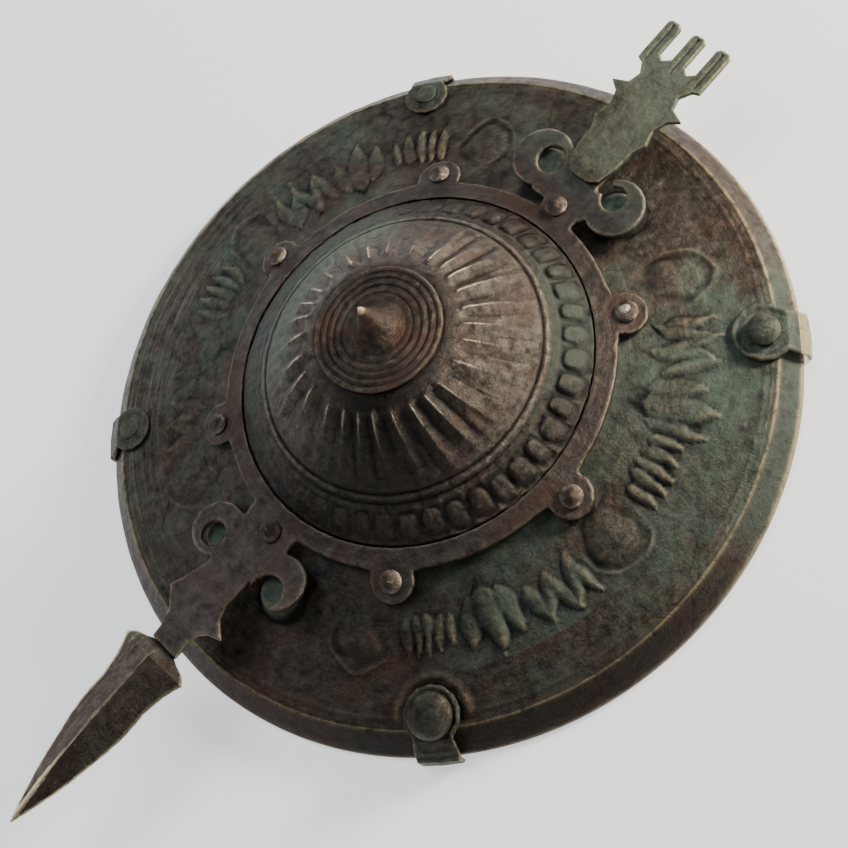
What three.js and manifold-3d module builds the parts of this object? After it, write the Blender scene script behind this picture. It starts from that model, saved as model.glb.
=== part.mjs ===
// A cast bronze buckler: a dished round plate with a fluted boss, a riveted ring frame, a blade on
// one side and a three-tined fork on the other. Millimetres, +Z is the boss side, +X points along
// the fork. It lies on its rim, so the underside of the rim is at z = 0.
import * as THREE from 'three';
import { ConvexGeometry } from 'three/addons/geometries/ConvexGeometry.js';
import { mergeVertices } from 'three/addons/utils/BufferGeometryUtils.js';
import Module from 'manifold-3d';

const wasm = await Module();
wasm.setup();

// Clearance kept between pieces that touch
const gap = 0.3;

// Body plate
const rimRadius = 160;
const rimEdgeHeight = 3;
const rimEdgeWidth = 3.2;
const rimSlope = 9;
const ridgeCrown = 2;
const ridgeHeight = 12;
const plateThickness = 2;
const fieldRise = 17.8;
const fieldSag = 0.08;
const handOpeningRadius = 72;

// Raised ornament on the body, in the band between the ring's tabs and the clips. The sizes of its
// motifs are shares of the band's width.
const motifPlaces = 24;
const bandClearance = 2;
const bandInset = 28;
const reliefHeight = 2.2;
const reliefRoot = 1;
const leafLength = 0.85;
const leafWidth = 0.42;
const strokeLength = 0.74;
const strokeWidth = 0.16;
const strokePitch = 0.27;
const roundelRadius = 0.25;
const chevronLength = 0.5;
const chevronApart = 0.15;
const chevronPitch = 0.33;

// Boss
const bossRadius = 79.6;
const bossWall = 2.2;
const flangeRadius = 86.5;
const flangeThickness = 1.2;
const beadCount = 40;
const beadHeight = 1.9;
const beadLength = 10.2;
const beadEdge = 1.2;
const cordonRadius = 64;
const cordonHeight = 47;
const cordonLip = 0.7;
const cordonWidth = 1.8;
const fluteCount = 28;
const fluteDepth = 1.6;
const fluteTopRadius = 34.5;
const fluteTopHeight = 70.6;
const bossBulge = 1.6;
const bossTopHeight = 73;

// Cap on the boss
const capRadius = 28;
const capDisc = 1.9;
const capConeRadius = 14;
const capConeHeight = 20.4;
const capStemRadius = 4.6;
const capStemHead = 8;
const capStemHeadHeight = 2.4;

// Ring frame: the strap round the boss, its tabs, and the two roots with their scrolls. A scroll's
// places count along the arm from the disc's axis and sideways from the arm's middle line, and a
// mouth is the range of directions, in degrees, in which a hook's eye is open.
const strapInner = 80.4;
const strapOuter = 89;
const strapThickness = 2.6;
const strapStandoff = 2.1;
const rivetCircle = 92.5;
const tabRadius = 10;
const tabFoot = 13.5;
const tabAngles = [38, 90, 142, 218, 270, 322];
const rootInner = 86;
const rootHeight = 29.6;
const rootThickness = 2.6;
const forkScroll = { along: 107, apart: 22, radius: 14.2, eyeAlong: 108.5, eyeApart: 18, eye: 6.6 };
const forkHook = { along: 106.5, apart: -21.5, radius: 13.7, eyeAlong: 109.5, eyeApart: -18.5, eye: 5.8 };
const forkMouth = { from: 48, to: 100 };
const bladeScroll = { along: 106.5, apart: 20.5, radius: 12.6, eyeAlong: 109.5, eyeApart: 20.5, eye: 5.6 };
const bladeHook = { along: 105.5, apart: -19, radius: 12.5, eyeAlong: 112, eyeApart: -18, eye: 7.6 };
const bladeMouth = { from: -50, to: 30 };
const forkArmInset = 22;
const forkArmHalfWidth = 9.6;
const bladeArmHalfWidth = 8.8;
const spurInset = 20.5;
const spurHalfWidth = 18.6;
const neckInset = 2;
const neckHalfWidth = 7.4;
const bladeRise = 4.6;
const riseStart = 97;
const riseInset = 10;

// Fork. Its overhangs count outwards from the rim, and its inner end lies beside the scrolls.
const forkOverhang = 29;
const forkInnerEnd = 108;
const forkThickness = 2.4;
const forkWaist = 12;
const barbInset = 7.5;
const forkBarbHalfWidth = 20.4;
const palmOverhang = 7;
const tineLength = 15.5;
const tineWidth = 7.4;
const tinePitch = 14.2;

// Blade. Its overhangs count outwards from the rim.
const bladeOverhang = 94;
const shoulderOverhang = 4;
const bladeShoulder = 19;
const waistOverhang = 24;
const bladeWaist = 14;
const bellyOverhang = 52;
const bladeBelly = 11.6;
const bladeEdge = 0.8;
const bladeRidge = 6;
const bladeBack = 2.4;
const tangLength = 31;
const tangHalfWidth = 6;
const tangThickness = 2.3;

// Rivets
const rivetShank = 2.2;
const ringRivetHead = 5;
const ringRivetHeight = 4.4;
const backHead = 4;
const backHeadHeight = 1.6;

// Clips over the rim. Two are hammered down on the rim's slope, and two spring a little off it.
const clipInset = 14;
const clipNeck = 8.6;
const clipFold = 9.4;
const clipThickness = 1.8;
const clips = [
  { angle: 45, radius: 10.4, spring: 0, head: 5, headHeight: 1.4 },
  { angle: 135, radius: 10.4, spring: 0, head: 5, headHeight: 1.4 },
  { angle: 225, radius: 12.4, spring: 1.6, head: 10, headHeight: 6 },
  { angle: 315, radius: 13, spring: 1.6, head: 7, headHeight: 5.2 },
];

// Grip across the hand opening at the back
const gripBarWidth = 18;
const gripBarThickness = 3;
const gripBarHeight = 17;
const gripPadLength = 22;
const gripBend = 12;
const gripSleeveLength = 96;
const gripSleeveWidth = 30;
const gripSleeveHeight = 22;

// Fineness of the round forms
const rimSides = 64;
const innerSides = 40;
const strapSides = 56;
const capSides = 22;
const rivetSides = 8;

// Places that follow from the sizes above
const ridgeRadius = rimRadius - rimSlope;
const clipCircle = rimRadius - clipInset;
const bladeReach = rimRadius + bladeOverhang;
const forkReach = rimRadius + forkOverhang;
const bandInner = rivetCircle + tabRadius + bandClearance;
const band = rimRadius - bandInset - bandInner;
const motifCircle = bandInner + band / 2;

// The disc's axis stands off the middle of the whole length, because the blade is longer than the fork
const discX = (bladeReach - forkReach) / 2;

const degrees = Math.PI / 180;

const bronzeBrown = new THREE.MeshStandardMaterial({ color: 0x4d453d, roughness: 0.55, metalness: 0.8 });
const bronzeGreen = new THREE.MeshStandardMaterial({ color: 0x55635a, roughness: 0.7, metalness: 0.6 });
const bronzeRed = new THREE.MeshStandardMaterial({ color: 0x4a3c36, roughness: 0.5, metalness: 0.8 });
const forkBronze = new THREE.MeshStandardMaterial({ color: 0x75806f, roughness: 0.6, metalness: 0.7 });
const bladeBronze = new THREE.MeshStandardMaterial({ color: 0x3b3128, roughness: 0.4, metalness: 0.9 });
const rivetBronze = new THREE.MeshStandardMaterial({ color: 0x5a4a3c, roughness: 0.45, metalness: 0.85 });
const gripLeather = new THREE.MeshStandardMaterial({ color: 0x33261c, roughness: 0.8, metalness: 0 });

// Height of the body's face at a distance from its axis, between the ring's seat and the ridge
function fieldTop(radius) {
  const out = (radius - strapInner) / (ridgeRadius - strapInner);
  return ridgeHeight + fieldRise * (1 - out - fieldSag * 4 * out * (1 - out));
}

// How fast the face falls outwards there, as a rise over run
function fieldFall(radius) {
  const step = 0.5;
  return (fieldTop(radius - step) - fieldTop(radius + step)) / (2 * step);
}

// A closed ring of points around the disc's axis; the height is a number or a function of the angle
function ring(sides, radius, height) {
  const points = [];
  for (let i = 0; i < sides; i++) {
    const angle = (i / sides) * 2 * Math.PI;
    const z = typeof height === 'function' ? height(angle) : height;
    points.push(new THREE.Vector3(radius * Math.cos(angle), radius * Math.sin(angle), z));
  }
  return points;
}

// Joins rings into one closed skin. The rings go round the section with the outside on the right:
// up the outer wall, in over the top, down the inner wall and out underneath. Each ring may have
// its own number of sides.
function skin(rings) {
  const positions = rings.flat().flatMap((point) => point.toArray());
  const starts = [];
  let start = 0;
  for (const points of rings) {
    starts.push(start);
    start += points.length;
  }
  const triangles = [];
  rings.forEach((points, k) => {
    const next = (k + 1) % rings.length;
    const sides = points.length;
    const nextSides = rings[next].length;
    let i = 0;
    let j = 0;
    while (i < sides || j < nextSides) {
      const here = starts[k] + (i % sides);
      const there = starts[next] + (j % nextSides);
      const stepHere = j >= nextSides || (i < sides && (i + 1) / sides <= (j + 1) / nextSides);
      if (stepHere) {
        triangles.push(here, starts[k] + ((i + 1) % sides), there);
        i++;
      } else {
        triangles.push(here, starts[next] + ((j + 1) % nextSides), there);
        j++;
      }
    }
  });
  const geometry = new THREE.BufferGeometry();
  geometry.setAttribute('position', new THREE.Float32BufferAttribute(positions, 3));
  geometry.setIndex(triangles);
  return geometry;
}

// A turned form about the z axis from a profile of [radius, height] pairs that starts and ends on it
function turned(profile, sides) {
  const points = profile.map(([radius, height]) => new THREE.Vector2(radius, height));
  return new THREE.LatheGeometry(points, sides).rotateX(Math.PI / 2);
}

// A flat plate cut to a shape, from one height to another
function plate(shape, bottom, top) {
  const settings = { depth: top - bottom, bevelEnabled: false };
  return new THREE.ExtrudeGeometry(shape, settings).translate(0, 0, bottom);
}

function outlineOf(pairs) {
  return new THREE.Shape(pairs.map(([x, y]) => new THREE.Vector2(x, y)));
}

// A strip as wide as asked, centred on y = 0, whose side view is a closed list of [x, z] points
function strip(sideView, width) {
  return plate(outlineOf(sideView), -width / 2, width / 2).rotateX(Math.PI / 2);
}

function solid(geometry) {
  const bare = geometry.clone();
  bare.deleteAttribute('normal');
  bare.deleteAttribute('uv');
  const merged = mergeVertices(bare, 1e-4);
  const vertProperties = new Float32Array(merged.attributes.position.array);
  const triVerts = new Uint32Array(merged.index.array);
  return new wasm.Manifold(new wasm.Mesh({ numProp: 3, vertProperties, triVerts }));
}

function geometryOf(manifold) {
  const mesh = manifold.getMesh();
  const geometry = new THREE.BufferGeometry();
  geometry.setAttribute('position', new THREE.Float32BufferAttribute(mesh.vertProperties, 3));
  geometry.setIndex(Array.from(mesh.triVerts));
  return geometry;
}

// A place on the body's face, with x outwards, y sideways and z square to the face when it leans
function onField(radius, angle, leans = true) {
  const lean = leans ? Math.atan(fieldFall(radius)) : 0;
  return new THREE.Matrix4()
    .makeRotationZ(angle * degrees)
    .multiply(new THREE.Matrix4().makeTranslation(radius, 0, fieldTop(radius)))
    .multiply(new THREE.Matrix4().makeRotationY(lean));
}

// The drill for a rivet's hole, run right through whatever it meets
function drill(place) {
  const length = 40;
  const cylinder = new THREE.CylinderGeometry(rivetShank + gap, rivetShank + gap, length, rivetSides);
  return solid(cylinder.rotateX(Math.PI / 2).applyMatrix4(place));
}

const ringRivets = tabAngles.map((angle) => ({ angle, leans: true }));
ringRivets.push({ angle: 0, leans: false }, { angle: 180, leans: false });
ringRivets.sort((a, b) => a.angle - b.angle);
const ringPlaces = ringRivets.map((rivet) => onField(rivetCircle, rivet.angle, rivet.leans));
const clipPlaces = clips.map((clip) => onField(clipCircle, clip.angle));

// The ornament stands on the field as low convex forms with their roots in the plate, so a form is
// wider at its root than at the face
const flare = 1 + reliefRoot / reliefHeight;

// A stroke is a roof over a long hexagon, with its ridge along the middle
function stroke(along, across, length, width, turn = 0) {
  const outline = [[-0.5, 0], [-0.2, 0.5], [0.25, 0.5], [0.5, 0], [0.25, -0.5], [-0.2, -0.5]];
  const foot = outline.map(([x, y]) => new THREE.Vector3(x * length * flare, y * width * flare, -reliefRoot));
  const ridge = [-0.2, 0.25].map((x) => new THREE.Vector3(x * length, 0, reliefHeight));
  const form = new ConvexGeometry([...foot, ...ridge]);
  return form.rotateZ(turn * degrees).translate(along, across, 0);
}

function button(along, across, radius) {
  const sides = 10;
  const foot = ring(sides, radius * flare, -reliefRoot);
  const top = ring(sides, radius * 0.55, reliefHeight);
  return new ConvexGeometry([...foot, ...top]).translate(along, across, 0);
}

function leaf() {
  return [stroke(0, 0, leafLength * band, leafWidth * band)];
}

function fan() {
  const pitch = strokePitch * band;
  const splay = pitch / motifCircle / degrees;
  return [-1, 0, 1].map((k) => {
    const length = strokeLength * band * (1 - 0.14 * Math.abs(k));
    return stroke(0, k * pitch, length, strokeWidth * band, k * splay);
  });
}

// A roundel has a crescent of three short strokes on its outer side
function roundel() {
  const radius = roundelRadius * band;
  const width = strokeWidth * band;
  const reach = radius + 0.9 * width;
  const crescent = [-38, 0, 38].map((turn) => {
    const along = reach * Math.cos(turn * degrees) - width / 2;
    const across = reach * Math.sin(turn * degrees);
    return stroke(along, across, radius, 0.6 * width, turn + 90);
  });
  return [button(-width / 2, 0, radius), ...crescent];
}

// Two rows of V shapes, which point outwards
function chevrons() {
  const length = chevronLength * band;
  const apart = chevronApart * band;
  const arms = [];
  for (const row of [-0.5, 0.5]) {
    const along = row * chevronPitch * band;
    arms.push(stroke(along, apart, length, 0.8 * strokeWidth * band, -42));
    arms.push(stroke(along, -apart, length, 0.8 * strokeWidth * band, 42));
  }
  return arms;
}

const motifs = [leaf, chevrons, roundel, fan];

// The places that the frame's two roots cover stay plain
function makeOrnament() {
  const forms = [];
  const rootWidth = forkScroll.apart + forkScroll.radius;
  for (let place = 0; place < motifPlaces; place++) {
    const angle = (place / motifPlaces) * 360;
    if (Math.abs(Math.sin(angle * degrees)) * motifCircle > rootWidth) {
      const spot = onField(motifCircle, angle);
      const motif = motifs[place % motifs.length];
      forms.push(...motif().map((form) => solid(form.applyMatrix4(spot))));
    }
  }
  return forms;
}

// Body plate: the skin goes up the rim's edge, over the ridge, in over the field to the hand
// opening, and back out underneath at the plate's thickness
function makeBody() {
  const outerCrown = ridgeRadius + 0.7 * ridgeCrown;
  const innerCrown = ridgeRadius - 0.3 * ridgeCrown;
  const fieldStops = [ridgeRadius - 1.7 * ridgeCrown, motifCircle, flangeRadius, handOpeningRadius];
  const rings = [
    ring(rimSides, rimRadius, 0),
    ring(rimSides, rimRadius, rimEdgeHeight),
    ring(rimSides, outerCrown, ridgeHeight - 0.3 * ridgeCrown),
    ring(rimSides, innerCrown, ridgeHeight),
    ...fieldStops.map((radius) => ring(rimSides, radius, fieldTop(radius))),
    ring(innerSides, handOpeningRadius, fieldTop(handOpeningRadius) - plateThickness),
    ring(innerSides, motifCircle, fieldTop(motifCircle) - plateThickness),
    ring(rimSides, ridgeRadius - 0.8 * plateThickness, ridgeHeight - plateThickness),
    ring(rimSides, rimRadius - rimEdgeWidth, 0),
  ];
  const holes = [...ringPlaces, ...clipPlaces].map(drill);
  const carved = wasm.Manifold.union([solid(skin(rings)), ...makeOrnament()]);
  return geometryOf(carved.subtract(wasm.Manifold.union(holes)));
}

// The boss's outer face between the cordon and the top of the flutes bulges a little
function bossFace(radius) {
  const share = (cordonRadius - radius) / (cordonRadius - fluteTopRadius);
  return cordonHeight + share * (fluteTopHeight - cordonHeight) + bossBulge * 4 * share * (1 - share);
}

// Boss: the skin starts at the foot flange, which lies under the ring, goes up over the row of
// beads, the cordon and the flutes to the stem's hole, and comes back down inside
function makeBoss() {
  const foot = (radius) => fieldTop(radius) + gap;
  const wallTop = foot(bossRadius) + flangeThickness + strapThickness;
  const beadSides = beadCount * 3;
  const fluteSides = fluteCount * 4;
  const bandRise = (cordonHeight - wallTop) / (bossRadius - cordonRadius);
  const onBand = (radius) => wallTop + (bossRadius - radius) * bandRise;
  const plainBand = (sides, radius) => ring(sides, radius, onBand(radius));
  const beads = (radius) => ring(beadSides, radius, (angle) => {
    const place = Math.round((angle / (2 * Math.PI)) * beadSides) % 3;
    return onBand(radius) + (place === 0 ? 0 : beadHeight);
  });
  const beadOuter = bossRadius - beadEdge;
  const beadInner = beadOuter - beadLength;
  const flutes = (share, depth) => {
    const radius = cordonRadius - share * (cordonRadius - fluteTopRadius);
    const lobe = (angle) => Math.abs(Math.cos((angle * fluteCount) / 2)) - 0.6;
    return ring(fluteSides, radius, (angle) => bossFace(radius) + fluteDepth * depth * lobe(angle));
  };
  const crown = capRadius + 2;
  const stemHole = capStemRadius + gap;
  const inner = (radius) => ring(innerSides, radius, bossFace(radius) - 1.6 * bossWall);
  const wallInner = bossRadius - bossWall;
  return skin([
    ring(innerSides, flangeRadius, foot(flangeRadius)),
    ring(innerSides, flangeRadius, foot(flangeRadius) + flangeThickness),
    ring(innerSides, bossRadius, foot(bossRadius) + flangeThickness),
    plainBand(beadSides, bossRadius - 0.2 * beadEdge),
    beads(beadOuter),
    beads(beadInner + beadEdge),
    plainBand(beadSides, beadInner),
    plainBand(innerSides, cordonRadius + cordonWidth),
    ring(innerSides, cordonRadius, cordonHeight + cordonLip),
    flutes(0.04, 0.6),
    flutes(0.3, 1),
    flutes(0.78, 0.85),
    flutes(1, 0),
    ring(innerSides, crown, bossTopHeight),
    ring(capSides, stemHole, bossTopHeight),
    ring(capSides, stemHole, bossTopHeight - bossWall),
    ring(innerSides, crown - 0.5 * bossWall, bossTopHeight - bossWall),
    inner(fluteTopRadius),
    inner((fluteTopRadius + cordonRadius) / 2),
    inner(cordonRadius - 0.5 * bossWall),
    ring(innerSides, wallInner, wallTop - bossWall),
    ring(innerSides, wallInner, foot(wallInner)),
  ]);
}

// Cap: a turned disc with stepped rings and a hollow-sided cone, on a stem through the boss. The
// steps are shares of the disc's width outside the cone.
function makeCap() {
  const seat = bossTopHeight + gap;
  const face = seat + capDisc;
  const inside = bossTopHeight - bossWall - gap;
  const width = capRadius - capConeRadius;
  const step = (share, height) => [capRadius - share * width, face + height * capDisc];
  const cone = (share, height) => [capConeRadius * share, face + capConeHeight * height];
  const profile = [
    [0, inside - capStemHeadHeight],
    [capStemHead, inside - 0.4 * capStemHeadHeight],
    [capStemHead, inside],
    [capStemRadius, inside],
    [capStemRadius, seat],
    [capRadius, seat],
    [capRadius, face],
    step(0.11, 0.37),
    step(0.26, 0),
    step(0.41, 0.42),
    step(0.6, 0.05),
    step(0.74, 0.63),
    step(1, 0.63),
    cone(0.66, 0.24),
    cone(0.3, 0.64),
    cone(0, 1),
  ];
  return turned(profile, capSides);
}

// The ring's strap and tabs follow the fall of the body's face at a standoff
const strapFall = fieldFall(rivetCircle);
const strapBottom = (radius) => fieldTop(rivetCircle) + strapStandoff + strapFall * (rivetCircle - radius);

// Arc of a circle as shape points, from one angle to another in degrees
function arcPoints(x, y, radius, from, to, steps) {
  const points = [];
  for (let i = 0; i <= steps; i++) {
    const angle = (from + ((to - from) * i) / steps) * degrees;
    points.push(new THREE.Vector2(x + radius * Math.cos(angle), y + radius * Math.sin(angle)));
  }
  return points;
}

function disc(x, y, radius, steps) {
  return new THREE.Shape(arcPoints(x, y, radius, 0, 360 - 360 / steps, steps - 1));
}

// A tab: a round lobe on a foot that flares into the strap
function tabShape() {
  const foot = strapOuter - 0.8;
  const inside = (strapInner + strapOuter) / 2;
  return new THREE.Shape([
    new THREE.Vector2(inside, -tabFoot),
    new THREE.Vector2(foot, -tabFoot),
    ...arcPoints(rivetCircle, 0, tabRadius, -110, 110, 8),
    new THREE.Vector2(foot, tabFoot),
    new THREE.Vector2(inside, tabFoot),
  ]);
}

// How far the blade's root has risen at a reach; the fork's root stays level
function riseAt(reach) {
  const riseEnd = rimRadius - riseInset;
  const share = Math.min(1, Math.max(0, (reach - riseStart) / (riseEnd - riseStart)));
  return bladeRise * share;
}

// The arm under the fork ends in a half round
function forkArm() {
  const half = forkArmHalfWidth;
  const end = rimRadius - forkArmInset - half;
  return new THREE.Shape([
    new THREE.Vector2(rootInner, -1.2 * half),
    new THREE.Vector2(rivetCircle, -1.3 * half),
    new THREE.Vector2(rivetCircle + 6, -half),
    ...arcPoints(end, 0, half, -90, 90, 8),
    new THREE.Vector2(rivetCircle + 6, half),
    new THREE.Vector2(rivetCircle, 0.8 * half),
    new THREE.Vector2(rootInner, 0.7 * half),
  ]);
}

// The arm to the blade widens to a pair of spurs over the rim and then narrows to the neck
function bladeArm() {
  const spur = rimRadius - spurInset;
  const end = rimRadius - neckInset;
  const half = bladeArmHalfWidth;
  const neck = neckHalfWidth;
  return outlineOf([
    [rootInner, -1.4 * half],
    [rivetCircle + 2, -1.4 * half],
    [bladeHook.along, -half],
    [spur - 12, -half],
    [spur - 6, -1.3 * half],
    [spur, -spurHalfWidth],
    [spur + 2, -1.6 * neck],
    [spur + 5, -1.15 * neck],
    [spur + 12, -neck],
    [end, -neck],
    [end, neck],
    [spur + 12, 1.1 * neck],
    [spur + 5, 1.5 * neck],
    [spur + 1, 2.1 * neck],
    [spur - 2, spurHalfWidth],
    [spur - 11, 1.75 * half],
    [spur - 19, 1.5 * half],
    [rootInner, 1.9 * half],
  ]);
}

// A root: its closed scroll on the +y side, its open hook on the -y side, a web that joins them and
// the arm, all cut from one sheet. The side is 1 for the fork and -1 for the blade.
function makeRoot(side, arm, scroll, hook, mouth) {
  const through = (shape) => {
    const points = shape.getPoints(1).map((point) => new THREE.Vector2(side * point.x, point.y));
    return solid(plate(new THREE.Shape(points), 0, 3 * rootHeight));
  };
  const lobe = (form) => through(disc(form.along, form.apart, form.radius, 20));
  const eye = (form) => through(disc(form.eyeAlong, form.eyeApart, form.eye, 14));
  const web = outlineOf([
    [rivetCircle, hook.apart / 1.6],
    [hook.along, hook.apart],
    [scroll.along, scroll.apart],
    [rivetCircle, scroll.apart / 1.4],
  ]);
  const wedge = new THREE.Shape([
    new THREE.Vector2(hook.eyeAlong, hook.eyeApart),
    ...arcPoints(hook.eyeAlong, hook.eyeApart, 1.6 * hook.radius, mouth.from, mouth.to, 2),
  ]);
  const curls = wasm.Manifold.union([lobe(scroll), lobe(hook), through(web)])
    .subtract(eye(scroll))
    .subtract(eye(hook))
    .subtract(through(wedge));
  const reaches = [rootInner, riseStart, rimRadius - riseInset, rimRadius];
  const under = reaches.map((reach) => [side * reach, rootHeight + (side < 0 ? riseAt(reach) : 0)]);
  const over = under.map(([x, z]) => [x, z + rootThickness]).reverse();
  const sheet = solid(strip([...under, ...over], 2 * rootInner));
  return curls.add(through(arm)).intersect(sheet);
}

function makeFrame() {
  const sheetInner = strapInner - 3;
  const sheetOuter = rivetCircle + tabRadius + 4;
  const sheet = solid(skin([
    ring(strapSides, sheetOuter, strapBottom(sheetOuter)),
    ring(strapSides, sheetOuter, strapBottom(sheetOuter) + strapThickness),
    ring(strapSides, sheetInner, strapBottom(sheetInner) + strapThickness),
    ring(strapSides, sheetInner, strapBottom(sheetInner)),
  ]));
  const tall = 2 * bossTopHeight;
  const hoop = solid(plate(disc(0, 0, strapOuter, strapSides), 0, tall));
  const tabs = tabAngles.map((angle) => solid(plate(tabShape(), 0, tall).rotateZ(angle * degrees)));
  const strap = sheet.intersect(wasm.Manifold.union([hoop, ...tabs]));
  const roots = [
    makeRoot(1, forkArm(), forkScroll, forkHook, forkMouth),
    makeRoot(-1, bladeArm(), bladeScroll, bladeHook, bladeMouth),
  ];
  const bore = solid(plate(disc(0, 0, strapInner, strapSides), 0, tall));
  const holes = wasm.Manifold.union(ringPlaces.map(drill));
  return geometryOf(wasm.Manifold.union([strap, ...roots]).subtract(bore).subtract(holes));
}

// Fork: a flat plate that lies on the frame's arm. Its half outline runs from the round inner end
// past a swelling and a barb to the outer tine.
function makeFork() {
  const inner = forkInnerEnd;
  const barb = rimRadius - barbInset;
  const palm = rimRadius + palmOverhang;
  const shank = (share) => inner + share * (barb - inner);
  const outerTine = tinePitch + tineWidth / 2;
  const chamfer = 0.22 * tineWidth;
  const half = (sign) => [
    [inner, sign * 0.36 * forkWaist],
    [inner + 3, sign * 0.75 * forkWaist],
    [shank(0.27), sign * 0.96 * forkWaist],
    [shank(0.48), sign * forkWaist],
    [shank(0.62), sign * 1.25 * forkWaist],
    [shank(0.78), sign * 1.05 * forkWaist],
    [shank(0.92), sign * 1.25 * forkWaist],
    [barb, sign * forkBarbHalfWidth],
    [barb + 3, sign * 1.08 * forkWaist],
    [palm - 6, sign * 0.95 * forkWaist],
    [palm - 1, sign * (outerTine - 2 * chamfer)],
    [palm, sign * outerTine],
  ];
  const root = forkReach - tineLength;
  const tine = (middle) => [
    [root, middle - tineWidth / 2],
    [forkReach - chamfer, middle - tineWidth / 2],
    [forkReach, middle - tineWidth / 2 + chamfer],
    [forkReach, middle + tineWidth / 2 - chamfer],
    [forkReach - chamfer, middle + tineWidth / 2],
    [root, middle + tineWidth / 2],
  ];
  const crotch = (middle) => [root - 1.5 * chamfer, middle];
  const points = [
    ...half(-1),
    ...tine(-tinePitch).slice(1),
    crotch(-tinePitch / 2),
    ...tine(0),
    crotch(tinePitch / 2),
    ...tine(tinePitch).slice(0, -1),
    ...half(1).reverse(),
  ];
  const bottom = rootHeight + rootThickness + gap;
  return plate(outlineOf(points), bottom, bottom + forkThickness);
}

// Blade: a skin over cross sections from the tang's end to the point. Each section is a flat
// lozenge whose ridge stands higher above the edges than its back lies below them.
function makeBlade() {
  const neckEnd = rimRadius - neckInset + gap;
  const bladeLevel = rootHeight + bladeRise + rootThickness / 2;
  const tang = (reach) => {
    const middle = rootHeight + riseAt(reach) - gap - tangThickness / 2;
    const face = tangThickness / 2;
    return { reach, half: tangHalfWidth, edge: tangThickness, ridge: face, back: face, middle };
  };
  const section = (reach, half, edge, share) => {
    return { reach, half, edge, ridge: bladeRidge * share, back: bladeBack * share, middle: bladeLevel };
  };
  const stops = [
    tang(neckEnd - tangLength),
    tang(rimRadius - riseInset),
    tang(neckEnd),
    { ...section(neckEnd + 0.1, neckHalfWidth, rootThickness, 0.3), back: rootThickness / 2 },
    section(rimRadius + shoulderOverhang, bladeShoulder, bladeEdge, 1),
    section(rimRadius + waistOverhang, bladeWaist, bladeEdge, 1),
    section(rimRadius + bellyOverhang, bladeBelly, bladeEdge, 0.9),
    section(bladeReach, 0.3, 0.4, 0.1),
  ];
  const bows = [0, 0, 0, 0, -0.9, 1.1, 1.1, 0];
  const between = 4;
  const fine = [];
  stops.forEach((stop, k) => {
    fine.push(stop);
    if (bows[k] !== 0) {
      for (let i = 1; i < between; i++) {
        const share = i / between;
        const mixed = { ...stop };
        Object.keys(stop).forEach((key) => {
          mixed[key] += (stops[k + 1][key] - stop[key]) * share;
        });
        mixed.half += bows[k] * 4 * share * (1 - share);
        fine.push(mixed);
      }
    }
  });
  const rings = fine.map(({ reach, half, edge, ridge, back, middle }) => [
    new THREE.Vector3(-reach, -half, middle - edge / 2),
    new THREE.Vector3(-reach, -half, middle + edge / 2),
    new THREE.Vector3(-reach, 0, middle + ridge),
    new THREE.Vector3(-reach, half, middle + edge / 2),
    new THREE.Vector3(-reach, half, middle - edge / 2),
    new THREE.Vector3(-reach, 0, middle - back),
  ]);
  const sides = rings[0].length;
  const positions = rings.flat().flatMap((point) => point.toArray());
  const triangles = [];
  for (let k = 0; k < rings.length - 1; k++) {
    for (let i = 0; i < sides; i++) {
      const a = k * sides + i;
      const b = k * sides + ((i + 1) % sides);
      triangles.push(a, b, a + sides, b, b + sides, a + sides);
    }
  }
  const last = (rings.length - 1) * sides;
  for (let i = 1; i < sides - 1; i++) {
    triangles.push(0, i + 1, i);
    triangles.push(last, last + i, last + i + 1);
  }
  const geometry = new THREE.BufferGeometry();
  geometry.setAttribute('position', new THREE.Float32BufferAttribute(positions, 3));
  geometry.setIndex(triangles);
  return geometry;
}

// Rivet: a domed or peaked head, a shank, and the hammered head at the back. Heights count along
// the rivet's axis from the body's face.
function rivet(profile, seat, back) {
  return turned([
    [0, back - backHeadHeight],
    [backHead, back - 0.4 * backHeadHeight],
    [backHead, back],
    [rivetShank, back],
    [rivetShank, seat],
    ...profile.map(([radius, height]) => [radius, seat + height]),
  ], rivetSides);
}

function dome(radius, height) {
  return [
    [radius, 0],
    [radius * 0.88, height * 0.5],
    [radius * 0.5, height * 0.88],
    [0, height],
  ];
}

function peak(radius, height) {
  return [
    [radius, 0],
    [radius * 0.7, height * 0.5],
    [0, height],
  ];
}

// A tab's rivet leans with the field; a root's stands straight and also holds the grip bar
function makeRingRivet(leans) {
  const head = peak(ringRivetHead, ringRivetHeight);
  if (leans) {
    const seat = (strapStandoff + strapThickness) * Math.cos(Math.atan(strapFall)) + gap;
    return rivet(head, seat, -plateThickness - gap);
  }
  const seat = rootHeight + rootThickness - fieldTop(rivetCircle) + gap;
  const slant = backHead * fieldFall(rivetCircle);
  return rivet(head, seat, -plateThickness - 3 * gap - gripBarThickness - slant);
}

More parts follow.
